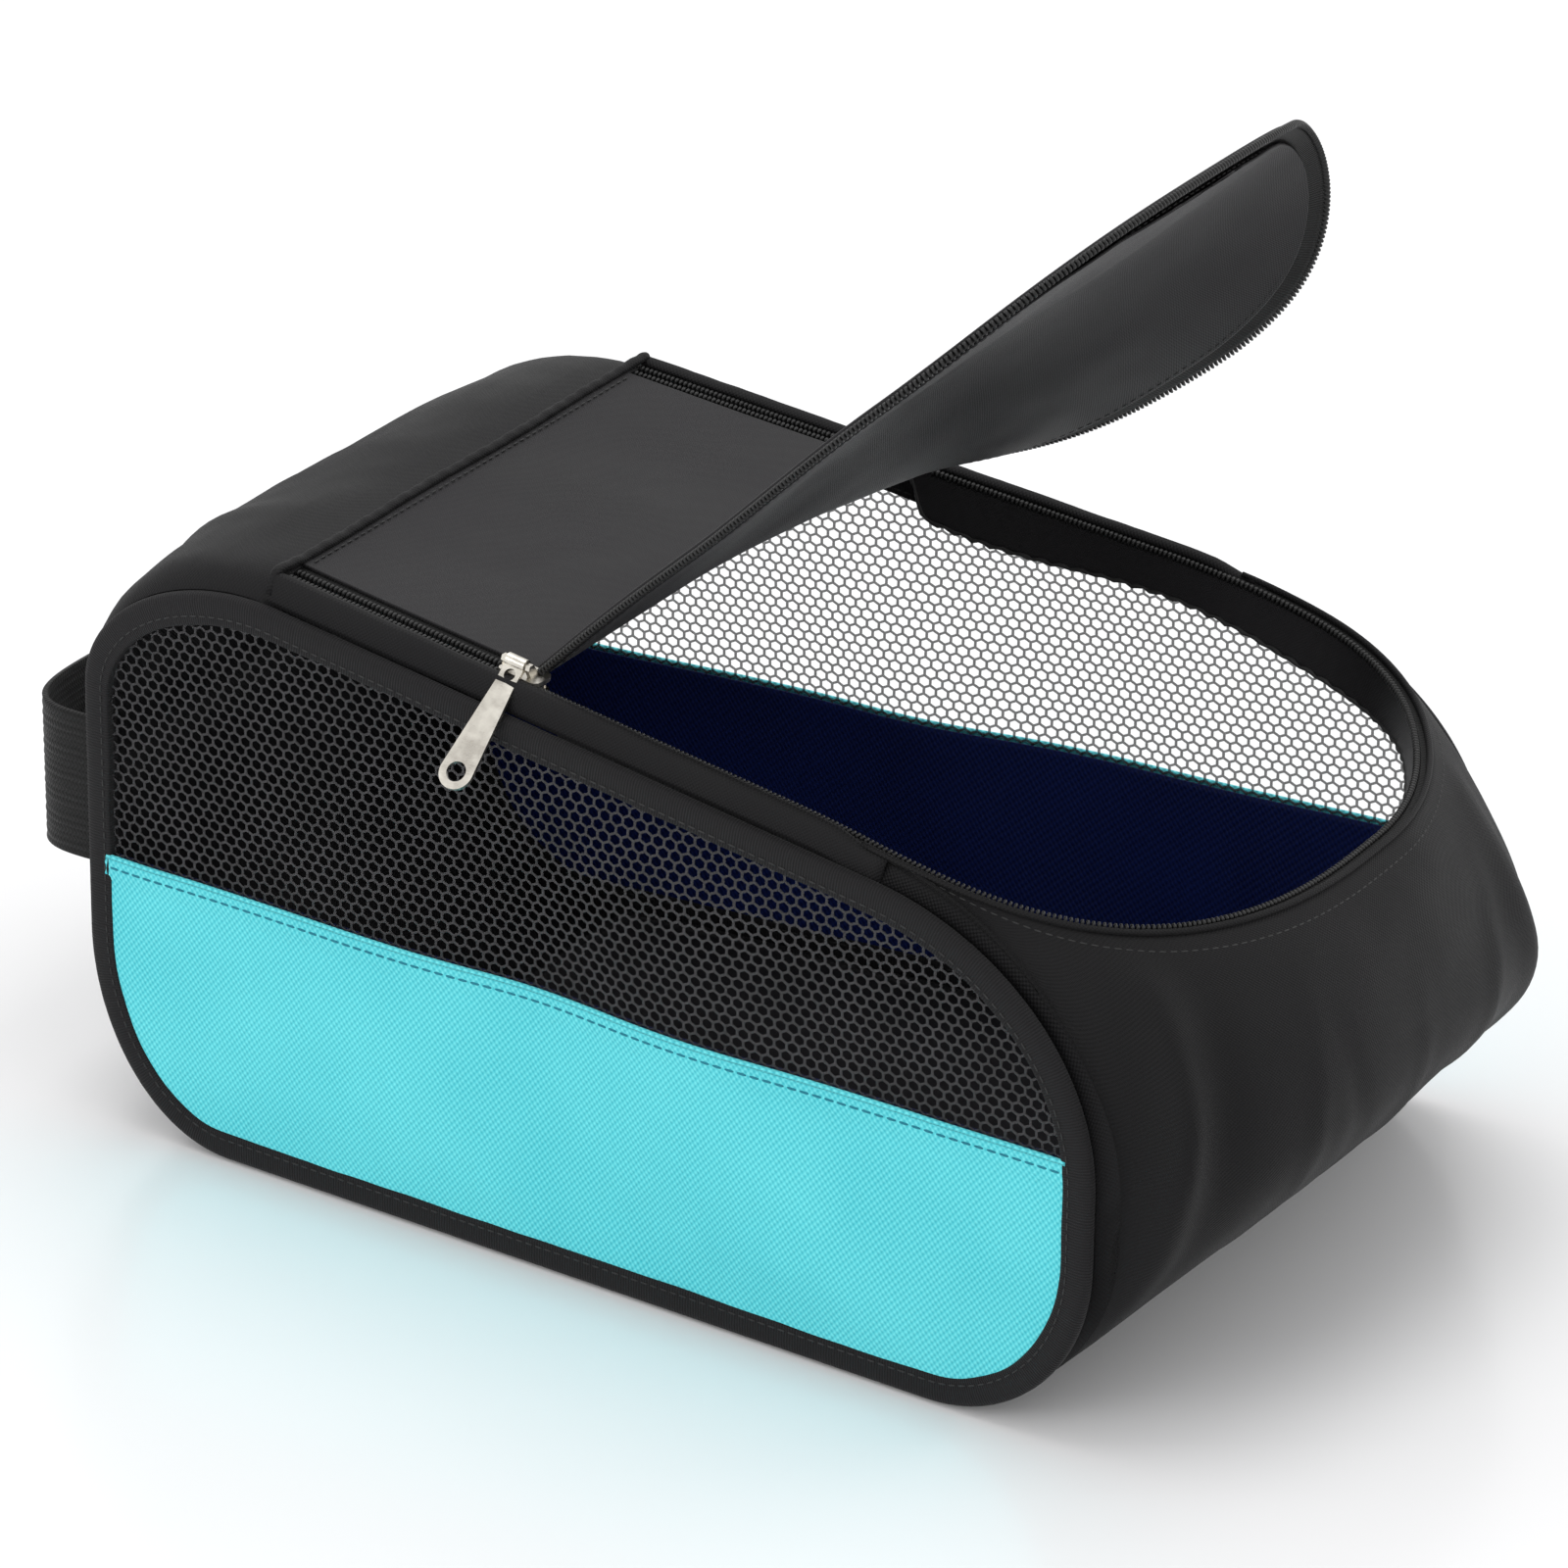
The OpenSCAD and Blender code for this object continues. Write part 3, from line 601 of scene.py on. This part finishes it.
def heel_cloth():
    """The end cloth at the heel, from the base up and over to the cross seam."""
    vs = np.sin(np.radians(np.linspace(-90, 90, 61)))
    columns = []
    for v in vs:
        bulge = HEEL_BULGE * (1 - v * v)
        top_r = (HEEL_TOP_R[0], HEEL_TOP_R[1] + crown(v))
        low = arc((HEEL_LOW_C[0] - bulge, HEEL_LOW_C[1]), HEEL_LOW_R, 270, 180)
        high = arc((HEEL_TOP_C[0] - bulge, HEEL_TOP_C[1]), top_r, 180, 90)
        p = spread(np.vstack([[[-BASE_FRONT, 0]], low, high, [[SEAM_X + 2, top_z(SEAM_X) + crown(v)]]]), 64)
        columns.append(np.stack([p[:, 0], v * (inner_w(p[:, 0]) + TUCK), p[:, 1]], -1))
    pts = np.array(columns).transpose(1, 0, 2)
    v = pts[..., 1] / inner_w(pts[..., 0])
    rows = np.linspace(0, 1, pts.shape[0])[:, None]
    hold = smooth(rows / 0.12) * smooth((1 - rows) / 0.08) * smooth((1 - np.abs(v)) / 0.08)
    amount = 1.7 * rough(pts, 50, 5.7) + 0.5 * rough(pts, 15, 1.2)
    # Two upright dents and one across
    amount = amount - 2.0 * hill(v, -0.55, 0.07) * hill(rows, 0.7, 0.16)
    amount = amount - 1.8 * hill(v, 0.5, 0.07) * hill(rows, 0.45, 0.2)
    amount = amount - 2.2 * hill(rows, 0.53, 0.02 + 0.02 * v * v)
    pts = push(pts, amount * hold)
    pts[..., 2] = np.maximum(pts[..., 2], 0.0)
    obj = grid("heel_cloth", pts, BLACK_CLOTH, "root", "body_cloth", flip=True, solid=-1.3,
               stands_for=["heel_panel"])


def plate_points(end, inset, z, bow=0.0):
    """A level grid between the side panels, out to end each way along X and raised by bow in its middle."""
    x = np.linspace(-end, end, 40)[:, None]
    v = np.linspace(-1, 1, 48)[None]
    y = v * (inner_w(x) - inset)
    return np.stack([np.broadcast_to(x, y.shape), y, z + bow * (1 - v ** 4) * np.ones_like(x)], -1)


def base_pieces():
    """The base cloth, and the covered stiffening board that lies on it."""
    base = plate_points(BASE_FRONT + 1, -TUCK, 0.65)
    base = base + np.array([0, 0, 1]) * (0.35 * (1 + rough(base, 30, 2.2)))[..., None]
    bottom = grid("base_cloth", base, BLACK_CLOTH, "root", "body_cloth", solid=1.2,
                  stands_for=["bottom_panel"])
    pts = plate_points(BASE_FRONT - 8, 6, 2.9, bow=0.5)
    pts[..., 2] += 0.3 * rough(pts, 24, 4.4)
    board = grid("base_board_cover", pts, LINING, "root", "board", solid=1.8, stands_for=["base_board"])
    edge = np.vstack([pts[0], pts[1:, -1], pts[-1, -2::-1], pts[-2:0:-1, 0], pts[:1, 0]])
    rim = tube("base_board_binding", spread(edge, 300), 1.6, KNIT, "root", "binding")


# ---- Side panels ----
def side_wave(x, z):
    """How far the soft side stands out from its flat plane."""
    free = smooth((edge_distance(x, z) - 3) / 26)
    q = np.stack([np.asarray(x, float) + 0 * z, np.zeros(np.shape(x + z)), z + 0 * np.asarray(x, float)], -1)
    swell = 2.6 * hill(x + 0.55 * z, 95, 38) - 1.8 * hill(x + 0.6 * z, 35, 30)
    swell = swell + 1.2 * hill(x - 0.3 * z, -90, 40)
    return free * (swell + 1.2 * rough(q, 70, 6.3) + 0.25 * rough(q, 18, 9.4))


def span_at(z, inset):
    """The heel and toe ends of a side panel at each height."""
    o = side_outline(inset, 60)
    heel, toe = o[o[:, 0] < 0], o[o[:, 0] >= 0]
    heel, toe = heel[np.argsort(heel[:, 1])], toe[np.argsort(toe[:, 1])]
    return np.interp(z, heel[:, 1], heel[:, 0]), np.interp(z, toe[:, 1], toe[:, 0])


def lower_grid(s, out):
    """Grid of a side's lower cloth and its flat places. The outer cloth is thicker along its hem."""
    inset = 2.5
    z = np.r_[inset + 0.05, spread([[inset + 0.3, 0], [LOWER_H, 0]], 46)[:, 0]]
    heel_x, toe_x = span_at(z, inset)
    x = heel_x[:, None] + (toe_x - heel_x)[:, None] * np.linspace(0, 1, 150)[None]
    zz = np.broadcast_to(z[:, None], x.shape)
    hem = 0.45 * smooth((zz - LOWER_H + 7.5) / 0.6) if out > 0 else 0
    return side_point(s, x, zz, out + hem + side_wave(x, zz)), np.stack([x, zz], -1)


def side_pieces(s, word):
    """One side: cyan cloth with its rolled, stitched top edge, navy cloth behind it, and the mesh."""
    pts, uv = lower_grid(s, SIDE_OUT)
    front = grid(word + "_cyan_cloth", pts, CYAN, "root", "side_cloth", uv=uv, flip=s > 0, solid=0.8,
                 stands_for=[word + "_side_cloth"])
    first, last = uv[-1, 0, 0], uv[-1, -1, 0]
    xs = np.linspace(first + 5, last - 5, 220)
    hem = side_point(s, xs, LOWER_H, SIDE_OUT + 0.35 + side_wave(xs, np.full_like(xs, LOWER_H)))
    hem_edge = tube(word + "_cyan_hem", hem, 0.85, CYAN, "root", "side_cloth", sides=8)
    xs = np.arange(first + 8, last - 8, 4.1)
    line = np.full_like(xs, LOWER_H - 3.2)
    wave = side_wave(xs, line)
    p = side_point(s, xs, line, SIDE_OUT + 0.85 + wave)
    f, o, u = axes(p, side_point(s, xs, line, SIDE_OUT + 2 + wave))
    stitches = beads(word + "_cyan_stitches", p, f, o, u, (2.9, 0.75, 0.55), CYAN_THREAD, "root",
                     "side_cloth")
    pts, uv = lower_grid(s, -SIDE_OUT)
    back = grid(word + "_navy_cloth", pts, NAVY, "root", "side_backing", uv=uv, flip=s < 0, solid=0.7,
                stands_for=[word + "_side_backing"])
    mesh_piece(s, word)


def mesh_piece(s, word):
    """Open net of six-sided holes, each one a ring of yarn shared with its neighbours."""
    verts, faces, seen = [], [], {}

    def corner(cx, cz, k, share):
        a = math.radians(90 + 60 * k)
        return cx + MESH_X / math.sqrt(3) * share * math.cos(a), cz + MESH_Z / 1.5 * share * math.sin(a)

    def vert(x, z, shared):
        key = (round(x, 2), round(z, 2))
        if shared and key in seen:
            return seen[key]
        verts.append((x, z))
        if shared:
            seen[key] = len(verts) - 1
        return len(verts) - 1

    rows = range(int((LOWER_H - 7) / MESH_Z), int(HEEL_H / MESH_Z) + 1)
    reach = int(BAG_L / 2 / MESH_X)
    cells = np.array([((i + 0.5 * (r % 2)) * MESH_X, r * MESH_Z) for r in rows for i in range(-reach, reach)])
    cells = cells[[point_in(c, OUTLINE) for c in cells]]
    cells = cells[edge_distance(cells[:, 0], cells[:, 1]) > 4.0]
    for cx, cz in cells:
        rim = [vert(*corner(cx, cz, k, 1.0), True) for k in range(6)]
        hole = [vert(*corner(cx, cz, k, HOLE_SHARE), False) for k in range(6)]
        faces += [(rim[k], rim[(k + 1) % 6], hole[(k + 1) % 6], hole[k]) for k in range(6)]
    flat = np.array(verts)
    pts = side_point(s, flat[:, 0], flat[:, 1], side_wave(flat[:, 0], flat[:, 1]))
    if s > 0:
        faces = [f[::-1] for f in faces]
    obj = make(word + "_mesh", pts, faces, NET, "root", "mesh", [word + "_mesh_panel"], uv=flat, solid=0.3)


def point_in(p, poly):
    """True if the point is inside the closed path."""
    x, y = p
    a, b = poly, np.roll(poly, -1, 0)
    cross = (a[:, 1] > y) != (b[:, 1] > y)
    at = a[:, 0] + (y - a[:, 1]) * (b[:, 0] - a[:, 0]) / np.where(b[:, 1] == a[:, 1], 1, b[:, 1] - a[:, 1])
    return bool(np.count_nonzero(cross & (x < at)) % 2)


BINDING_SHAPE = np.array([  # how far in from the edge, how far out from the middle plane
    (9.0, 1.75), (8.7, 2.15), (8.0, 2.3), (7.0, 2.22), (5.5, 2.34), (3.5, 2.36), (1.8, 2.2), (0.7, 1.75),
    (0.1, 0.95), (0.0, 0.0)])


def binding(s, word):
    """Knit binding folded over a side panel's edge, a little puckered, with its stitches on both faces."""
    section = np.vstack([BINDING_SHAPE, BINDING_SHAPE[-2::-1] * [1, -1]])
    path = spread(np.vstack([side_outline(0, 40), side_outline(0)[:1]]), 421)[:-1]
    n = normals(path, True)
    wob = rough(np.c_[path, 0 * path[:, 0]], 16, 2.0)
    heel_top = hill(np.hypot(path[:, 0] + 150, path[:, 1] - 160), 0, 45)
    pucker = 0.10 * np.sin(np.arange(len(path)) * 1.9) + 0.16 * wob
    rows = []
    for i, p in enumerate(path):
        inset = section[:, 0] * (1 + 0.05 * wob[i] + 0.10 * heel_top[i])
        out = section[:, 1] * (1 + 0.10 * pucker[i] * (section[:, 0] > 0.5))
        q = p + n[i] * inset[:, None]
        rows.append(side_point(s, q[:, 0], q[:, 1], out))
    wrap = np.array(rows + rows[:1])
    cols = len(section)
    across = np.r_[0, np.cumsum(np.linalg.norm(np.diff(section, axis=0), axis=1))]
    down = np.r_[0, np.cumsum(np.linalg.norm(np.diff(np.vstack([path, path[:1]]), axis=0), axis=1))]
    uv = np.stack(np.meshgrid(across, down), -1).reshape(-1, 2)
    faces = [list(f) for f in grid_faces(len(wrap), cols)]
    starts = range(0, (len(wrap) - 1) * cols, cols)
    faces += [[a + cols - 1, a, a + cols, a + 2 * cols - 1] for a in starts]
    if s > 0:
        faces = [f[::-1] for f in faces]
    obj = make(word + "_binding", wrap.reshape(-1, 3), faces, KNIT, "root", "binding",
               [word + "_edge_binding"], uv=uv)
    weld = obj.modifiers.new("join", "WELD")
    weld.merge_threshold = 0.00001
    inset = 6.9
    line = spread(np.vstack([side_outline(inset, 40), side_outline(inset)[:1]]), step=3.4)[:-1]
    for face, name in ((1, "_binding_stitches"), (-1, "_inner_binding_stitches")):
        p = side_point(s, line[:, 0], line[:, 1], face * 2.3)
        f, o, u = axes(p, side_point(s, line[:, 0], line[:, 1], face * 3.3))
        beads(word + name, p, f, o, u, (2.3, 0.5, 0.4), THREAD, "root", "binding")


# ---- Shoulder strips, rear top and cross seam ----
STRIP_SHAPE = np.array([  # how far out from the middle of the zip, how far up from the top cloth's plane
    (4.4, -0.5), (5.0, 0.35), (5.5, 0.85), (6.3, 1.05), (7.0, 0.75), (7.5, -0.1), (7.9, -1.6), (8.3, -3.4),
    (8.7, -5.6), (8.9, -7.0)])


def strip(s, word):
    """Narrow shoulder of cloth between the zip and the binding. Its front end tucks under the toe cloth."""
    line = ring(0, 3.0)
    line = line[line[:, 1] > 0]
    line = line[line[:, 0] <= CORNER_L + 4]
    n = normals(line)
    out, up = STRIP_SHAPE.T
    rows = []
    for (l, y), way in zip(line, n):
        bump = 0.25 * noise.noise(Vector((l / 17, s * 3.0, 0.4)))
        bump += 0.12 * noise.noise(Vector((l / 5, s, 2.0)))
        tuck = 1.9 * smooth((l - CORNER_L + 16) / 14)
        q = (l, y) + way * out[:, None]
        rows.append(root_point(q[:, 0], s * q[:, 1], up + bump * (up > -3) - tuck))
    rows = np.array(rows)
    obj = grid(word + "_shoulder", rows, BLACK_CLOTH, "root", "body_cloth", flip=s < 0, solid=-0.9,
               stands_for=[word + "_top_strip"])


def edge_stitches(name, off, h, start):
    """A row of stitches on the lid beside its half of the zip."""
    line = ring(off, STITCH_STEP, start)
    low, high = lid_point(*line.T, h), lid_point(*line.T, h + 1)
    f, o, u = axes(low, high)
    return beads(name, low, f, o, u, STITCH, THREAD, "lid", "top_cloth")


def shoulder_stitches(s, word):
    """The row of stitches along one shoulder strip."""
    l = np.arange(5, CORNER_L - 10, STITCH_STEP)
    line = half_edge(CLOTH_GAP + 1.3, 1.0, 0)
    y = s * np.interp(l, line[:, 0], line[:, 1])
    low, high = root_point(l, y, 1.1), root_point(l, y, 2.1)
    f, o, u = axes(low, high)
    beads(word + "_shoulder_stitches", low, f, o, u, STITCH, THREAD, "root", "body_cloth")


def half_edge(off, step, start):
    """The +Y half of the opening's edge, from the start to the toe."""
    p = ring(off, step, start)
    p = p[p[:, 1] >= -1e-6]
    return p if p[0, 0] < p[-1, 0] else p[::-1]


def plate_grid(off, start, place, h, end=None):
    """Grid of a top cloth across the opening, from start to end, or else to the tip at the toe."""
    edge = half_edge(off, 3.5, start)
    edge = np.vstack([[[start, np.interp(start, edge[:, 0], edge[:, 1])]], edge[edge[:, 0] > start + 0.2]])
    if end is None:
        edge = np.vstack([edge, [[edge[-1, 0] + 0.02, 0.02]]])
    else:
        edge = edge[edge[:, 0] < end - 0.2]
        edge = np.vstack([edge, [[end, edge[-1, 1] + (end - edge[-1, 0]) * math.tan(FLARE)]]])
    closer = math.pi / 2 * 0.98  # points lie closer together towards the edges
    v = np.sin(np.linspace(-closer, closer, 61)) / math.sin(closer)
    l = np.broadcast_to(edge[:, :1], (len(edge), len(v)))
    y = edge[:, 1:] * v[None]
    return place(l, y, h(l, y)), np.stack([l, y], -1)


def rear_top():
    """The fixed part of the top cloth, sagging a little between its seams."""
    def sag(l, y):
        t = l / FOLD_L
        soft = np.sin(np.clip(t, 0, 1) * math.pi) * (1 - (y / 96) ** 2)
        q = np.stack([l, y, 0 * l], -1)
        return -1.6 * soft + soft * (1.0 * rough(q, 34, 1.1) + 0.3 * rough(q, 12, 2.1)) + 0.3
    pts, uv = plate_grid(-CLOTH_GAP, 0.4, root_point, sag, end=FOLD_L + 0.4)
    obj = grid("rear_top_cloth", pts, TOP_CLOTH, "root", "top_cloth", uv=uv, solid=1.0,
               stands_for=["rear_top_panel"])


def seam():
    """The raised seam across the bag behind the zip, rolled down over both shoulders, and its stitches."""
    zip_y = half_w(SEAM_X) - ZIP_INSET
    y = np.linspace(-1, 1, 181) * (zip_y + 8.4)
    past = np.abs(y) - zip_y
    h = np.interp(past, [-6, -3, 5.5, 6.6, 7.6, 8.4], [1.3, 1.7, 1.9, 1.5, -1.0, -4.5])
    h = h + 0.15 * np.sin(y * 0.9) + 0.12 * np.sin(y * 0.31)
    path = root_point(0.6 + 0.3 * np.sin(y * 0.07), y, h)
    tube("rear_seam_welt", path, 1.7, BLACK_CLOTH, "root", "body_cloth", sides=12, squash=0.8,
         stands_for=["rear_seam_piping"])
    ys = np.arange(-84, 84, 3.4)
    low, high = root_point(4.2, ys, 1.05), root_point(4.2, ys, 2.05)
    f, o, u = axes(low, high)
    beads("rear_seam_stitches", low, f, o, u, (2.2, 0.5, 0.42), THREAD, "root", "top_cloth")


# ---- Zip ----
def tape(name, near, far, place, body, stands_for, start=0.0):
    """One half of the zip's tape, from near to far out from the middle line."""
    base = zip_line(3.0)
    n = normals(base)
    kept = base[:, 0] >= start
    base, n = base[kept], n[kept]
    rows = [place(*(base + n * off).T, TAPE_Z) for off in np.linspace(near, far, 6)]
    grid(name, np.array(rows), TAPE, body, "zip_tape", solid=0.7, stands_for=stands_for)


def coil(name, out, place, body, stands_for, start, end=math.inf):
    """One half of the zip's coil, turn by turn. out is 1 for the body's half and -1 for the lid's."""
    base = zip_line(TOOTH_STEP)
    n = normals(base)
    kept = (base[:, 0] >= start) & (base[:, 0] <= end)
    base, n = base[kept], n[kept]
    mid = base + n * out * (SLOT_R + COIL_OUT) / 2
    near = base + n * out * SLOT_R
    c, c_up = place(*mid.T, TAPE_Z + 0.15), place(*mid.T, TAPE_Z + 1.15)
    o = place(*near.T, TAPE_Z + 0.15) - c
    o /= np.linalg.norm(o, axis=1)[:, None]
    u = c_up - c
    u /= np.linalg.norm(u, axis=1)[:, None]
    size = (TOOTH_L, COIL_OUT - SLOT_R + 0.1, COIL_H)
    beads(name, c, np.cross(u, o), o, u, size, COIL, body, "zip_coil", stands_for=stands_for)


def rear_rows():
    """The lid-side half of the closed stretch of zip behind the fold, on both sides."""
    for s, word in SIDES:
        half = half_edge(0, 3.0, 0)
        last = [FOLD_L, np.interp(FOLD_L, half[:, 0], half[:, 1])]
        half = np.vstack([half[half[:, 0] < FOLD_L - 0.2], [last]])
        n = normals(half)
        rows = [root_point((half - n * off)[:, 0], s * (half - n * off)[:, 1], TAPE_Z)
                for off in np.linspace(COIL_OUT, COIL_OUT + 5, 5)]
        name = word + "_rear_tape"
        grid(name, np.array(rows), TAPE, "root", "zip_tape", solid=0.7, flip=s > 0)
    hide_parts("rear_zip_tapes")
    coil("rear_coil", -1, root_point, "root", ["rear_zip_coils"], 2.5, FOLD_L)


def facing():
    """The cloth that hangs inside the opening below the zip, wavy at its stitched lower edge."""
    line = ring(3.0, 2.0, FOLD_L + 6)
    n = normals(line)
    s = np.r_[0, np.cumsum(np.linalg.norm(np.diff(line, axis=0), axis=1))]
    ends = smooth(s / 10) * smooth((s[-1] - s) / 10)
    scallop = 0.9 * np.abs(np.sin(s * math.pi / 6.5))
    rows = []
    for t in np.linspace(0, 1, 12):
        lean = t * (0.5 + 2.5 * (0.5 + 0.5 * np.sin(s * 0.06)) * ends)
        p = line - n * (lean - 0.6 * t)[:, None]
        drop = t * (15.2 + 1.4 * np.sin(s * 0.05) - scallop) * (0.2 + 0.8 * ends)
        rows.append(root_point(p[:, 0], p[:, 1], TAPE_Z - drop))
    rows = np.array(rows)
    obj = grid("toe_rim_facing", rows, LINING, "root", "body_cloth", solid=0.7, stands_for=["toe_facing"])
    thick = 0.75 + 0.2 * np.sin(np.arange(len(rows[-1])) * 2.1)
    lock = tube("toe_rim_overlock", rows[-1], thick, THREAD, "root", "binding", sides=7)


# ---- Lid ----
def lid_pieces():
    """The lid's outer cloth and lining, its half of the zip, its stitches and its rolled edge."""
    def top(l, y):
        q = np.stack([l, y, 0 * l], -1)
        soft = smooth((l - FOLD_L) / 30) * smooth((1 - np.abs(y) / 100) * 3)
        return 0.3 + soft * (1.3 * rough(q, 48, 7.7) + 0.3 * rough(q, 13, 5.5))

    def under(l, y):
        return top(l, y) - 1.9 - 1.2 * smooth((l - FOLD_L) / 40) * (1 - (y / 105) ** 2)

    pts, uv = plate_grid(-CLOTH_GAP, FOLD_L + 0.2, lid_point, top)
    cover = grid("lid_cloth", pts, TOP_CLOTH, "lid", "top_cloth", uv=uv, solid=1.0, stands_for=["lid_panel"])
    pts, uv = plate_grid(-CLOTH_GAP - 2.6, FOLD_L + 0.2, lid_point, under)
    lining = grid("lid_lining_cloth", pts, LINING, "lid", "top_cloth", uv=uv, solid=0.7,
                  stands_for=["lid_lining"])
    tape("lid_tape", -COIL_OUT - 5.5, -COIL_OUT + 0.3, lid_point, "lid", ["lid_zip_tape"], FOLD_L + 1)
    coil("lid_coil", -1, lid_point, "lid", ["lid_zip_coil"], FOLD_L + 3)
    outer = edge_stitches("lid_stitches", -CLOTH_GAP - 2.0, 1.0, FOLD_L + 3)
    inner = edge_stitches("lid_inner_stitches", -CLOTH_GAP - 4.0, -2.1, FOLD_L + 6)
    rim = ring(-CLOTH_GAP + 0.1, 2.5, FOLD_L + 1)
    edge = tube("lid_cloth_edge", lid_point(*rim.T, 0.35), 0.85, TOP_CLOTH, "lid", "top_cloth", sides=8)


# ---- Handle ----
def handle():
    """Ribbed webbing, bowed out from the heel between the side panels, sagging and leaning at its middle."""
    half = inner_w(-BAG_L / 2) - 1
    foot = -BAG_L / 2 + 2
    a = np.radians(np.linspace(-90, 90, 121))
    reach, across = np.cos(a) ** 0.5, np.sign(a) * np.abs(np.sin(a)) ** 0.5
    bow = spread(np.stack([foot - (STRAP_OUT + 2) * reach, half * across], -1), 120)
    z = np.linspace(0, 1, 41)
    rib = 0.32 * np.cos(z * STRAP_W * 2 * math.pi / 3.1)
    n = normals(bow)
    rows = []
    for p, way in zip(bow, n):
        y = p[1]
        mid = math.cos(y / half * math.pi / 2)
        narrow = 1 - 0.04 * mid
        lean = 2.0 * mid * (z - 0.5)
        q = p + way * (rib * 0.5 + 1.0)[:, None]
        height = STRAP_Z + STRAP_W * (0.5 + (z - 0.5) * narrow) - 2.5 * mid + 0.8 * math.sin(y / 23)
        rows.append(np.stack([q[:, 0] - lean, q[:, 1], height], -1))
    down = np.r_[0, np.cumsum(np.linalg.norm(np.diff(bow, axis=0), axis=1))]
    uv = np.stack(np.meshgrid(z * STRAP_W, down), -1)
    grid("handle_webbing", np.array(rows), WEBBING, "root", "webbing", uv=uv, solid=-1.7,
         stands_for=["handle_strap"])


toe_cloth()
heel_cloth()
base_pieces()
for s, word in SIDES:
    side_pieces(s, word)
    binding(s, word)
    strip(s, word)
rear_top()
seam()
tape("body_tape", COIL_OUT - 0.3, CLOTH_GAP + 0.6, root_point, "root", ["body_zip_tape"])
coil("body_coil", 1, root_point, "root", ["body_zip_coil"], 2.5)
rear_rows()
facing()
for s, word in SIDES:
    shoulder_stitches(s, word)
lid_pieces()
handle()

# The sliders and pull tabs keep their CAD shape, in metal with softened edges
for name in ("right_slider_body", "left_slider_body", "right_pull_tab", "left_pull_tab"):
    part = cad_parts[name]
    part.data.materials.clear()
    part.data.materials.append(METAL)
    edge = part.modifiers.new("edge", "BEVEL")
    edge.width = 0.00022
    edge.segments = 2
    edge.limit_method = "ANGLE"

# ---- Floor and light, in metres ----
floor = bpy.data.meshes.new("floor")
floor.from_pydata([(-5, -5, 0), (5, -5, 0), (5, 5, 0), (-5, 5, 0)], [], [(0, 1, 2, 3)])
white = Nodes("pale_floor")
pale = white.mix(white.noise(2.0), (0.86, 0.86, 0.87, 1), (0.88, 0.88, 0.885, 1))
floor.materials.append(white.finish(pale, 0.22, Specular_IOR_Level=0.35))
ground = bpy.data.objects.new("floor", floor)
ground.location.z = -0.0004
bpy.context.scene.collection.objects.link(ground)


def softbox(name, place, aim, size, watts):
    """A rectangular lamp at place, turned towards aim."""
    lamp = bpy.data.lights.new(name, "AREA")
    lamp.shape = "RECTANGLE"
    lamp.size, lamp.size_y = size
    lamp.energy = watts
    obj = bpy.data.objects.new(name, lamp)
    obj.location = place
    obj.rotation_euler = (Vector(aim) - Vector(place)).to_track_quat("-Z", "Y").to_euler()
    bpy.context.scene.collection.objects.link(obj)


softbox("top_light", (-0.2, 0.3, 2.0), (0, 0, 0.1), (1.6, 1.6), 15)
softbox("near_light", (-0.7, -2.2, 1.2), (0, 0, 0.1), (1.4, 1.2), 13)
softbox("rim_light", (1.6, 1.6, 1.3), (0, 0, 0.15), (1.2, 1.0), 8)
world = bpy.data.worlds.new("studio")
world.use_nodes = True
world.node_tree.nodes["Background"].inputs[0].default_value = (1, 1, 1, 1)
world.node_tree.nodes["Background"].inputs[1].default_value = 0.88
bpy.context.scene.world = world
bpy.context.scene.view_settings.view_transform = "Standard"
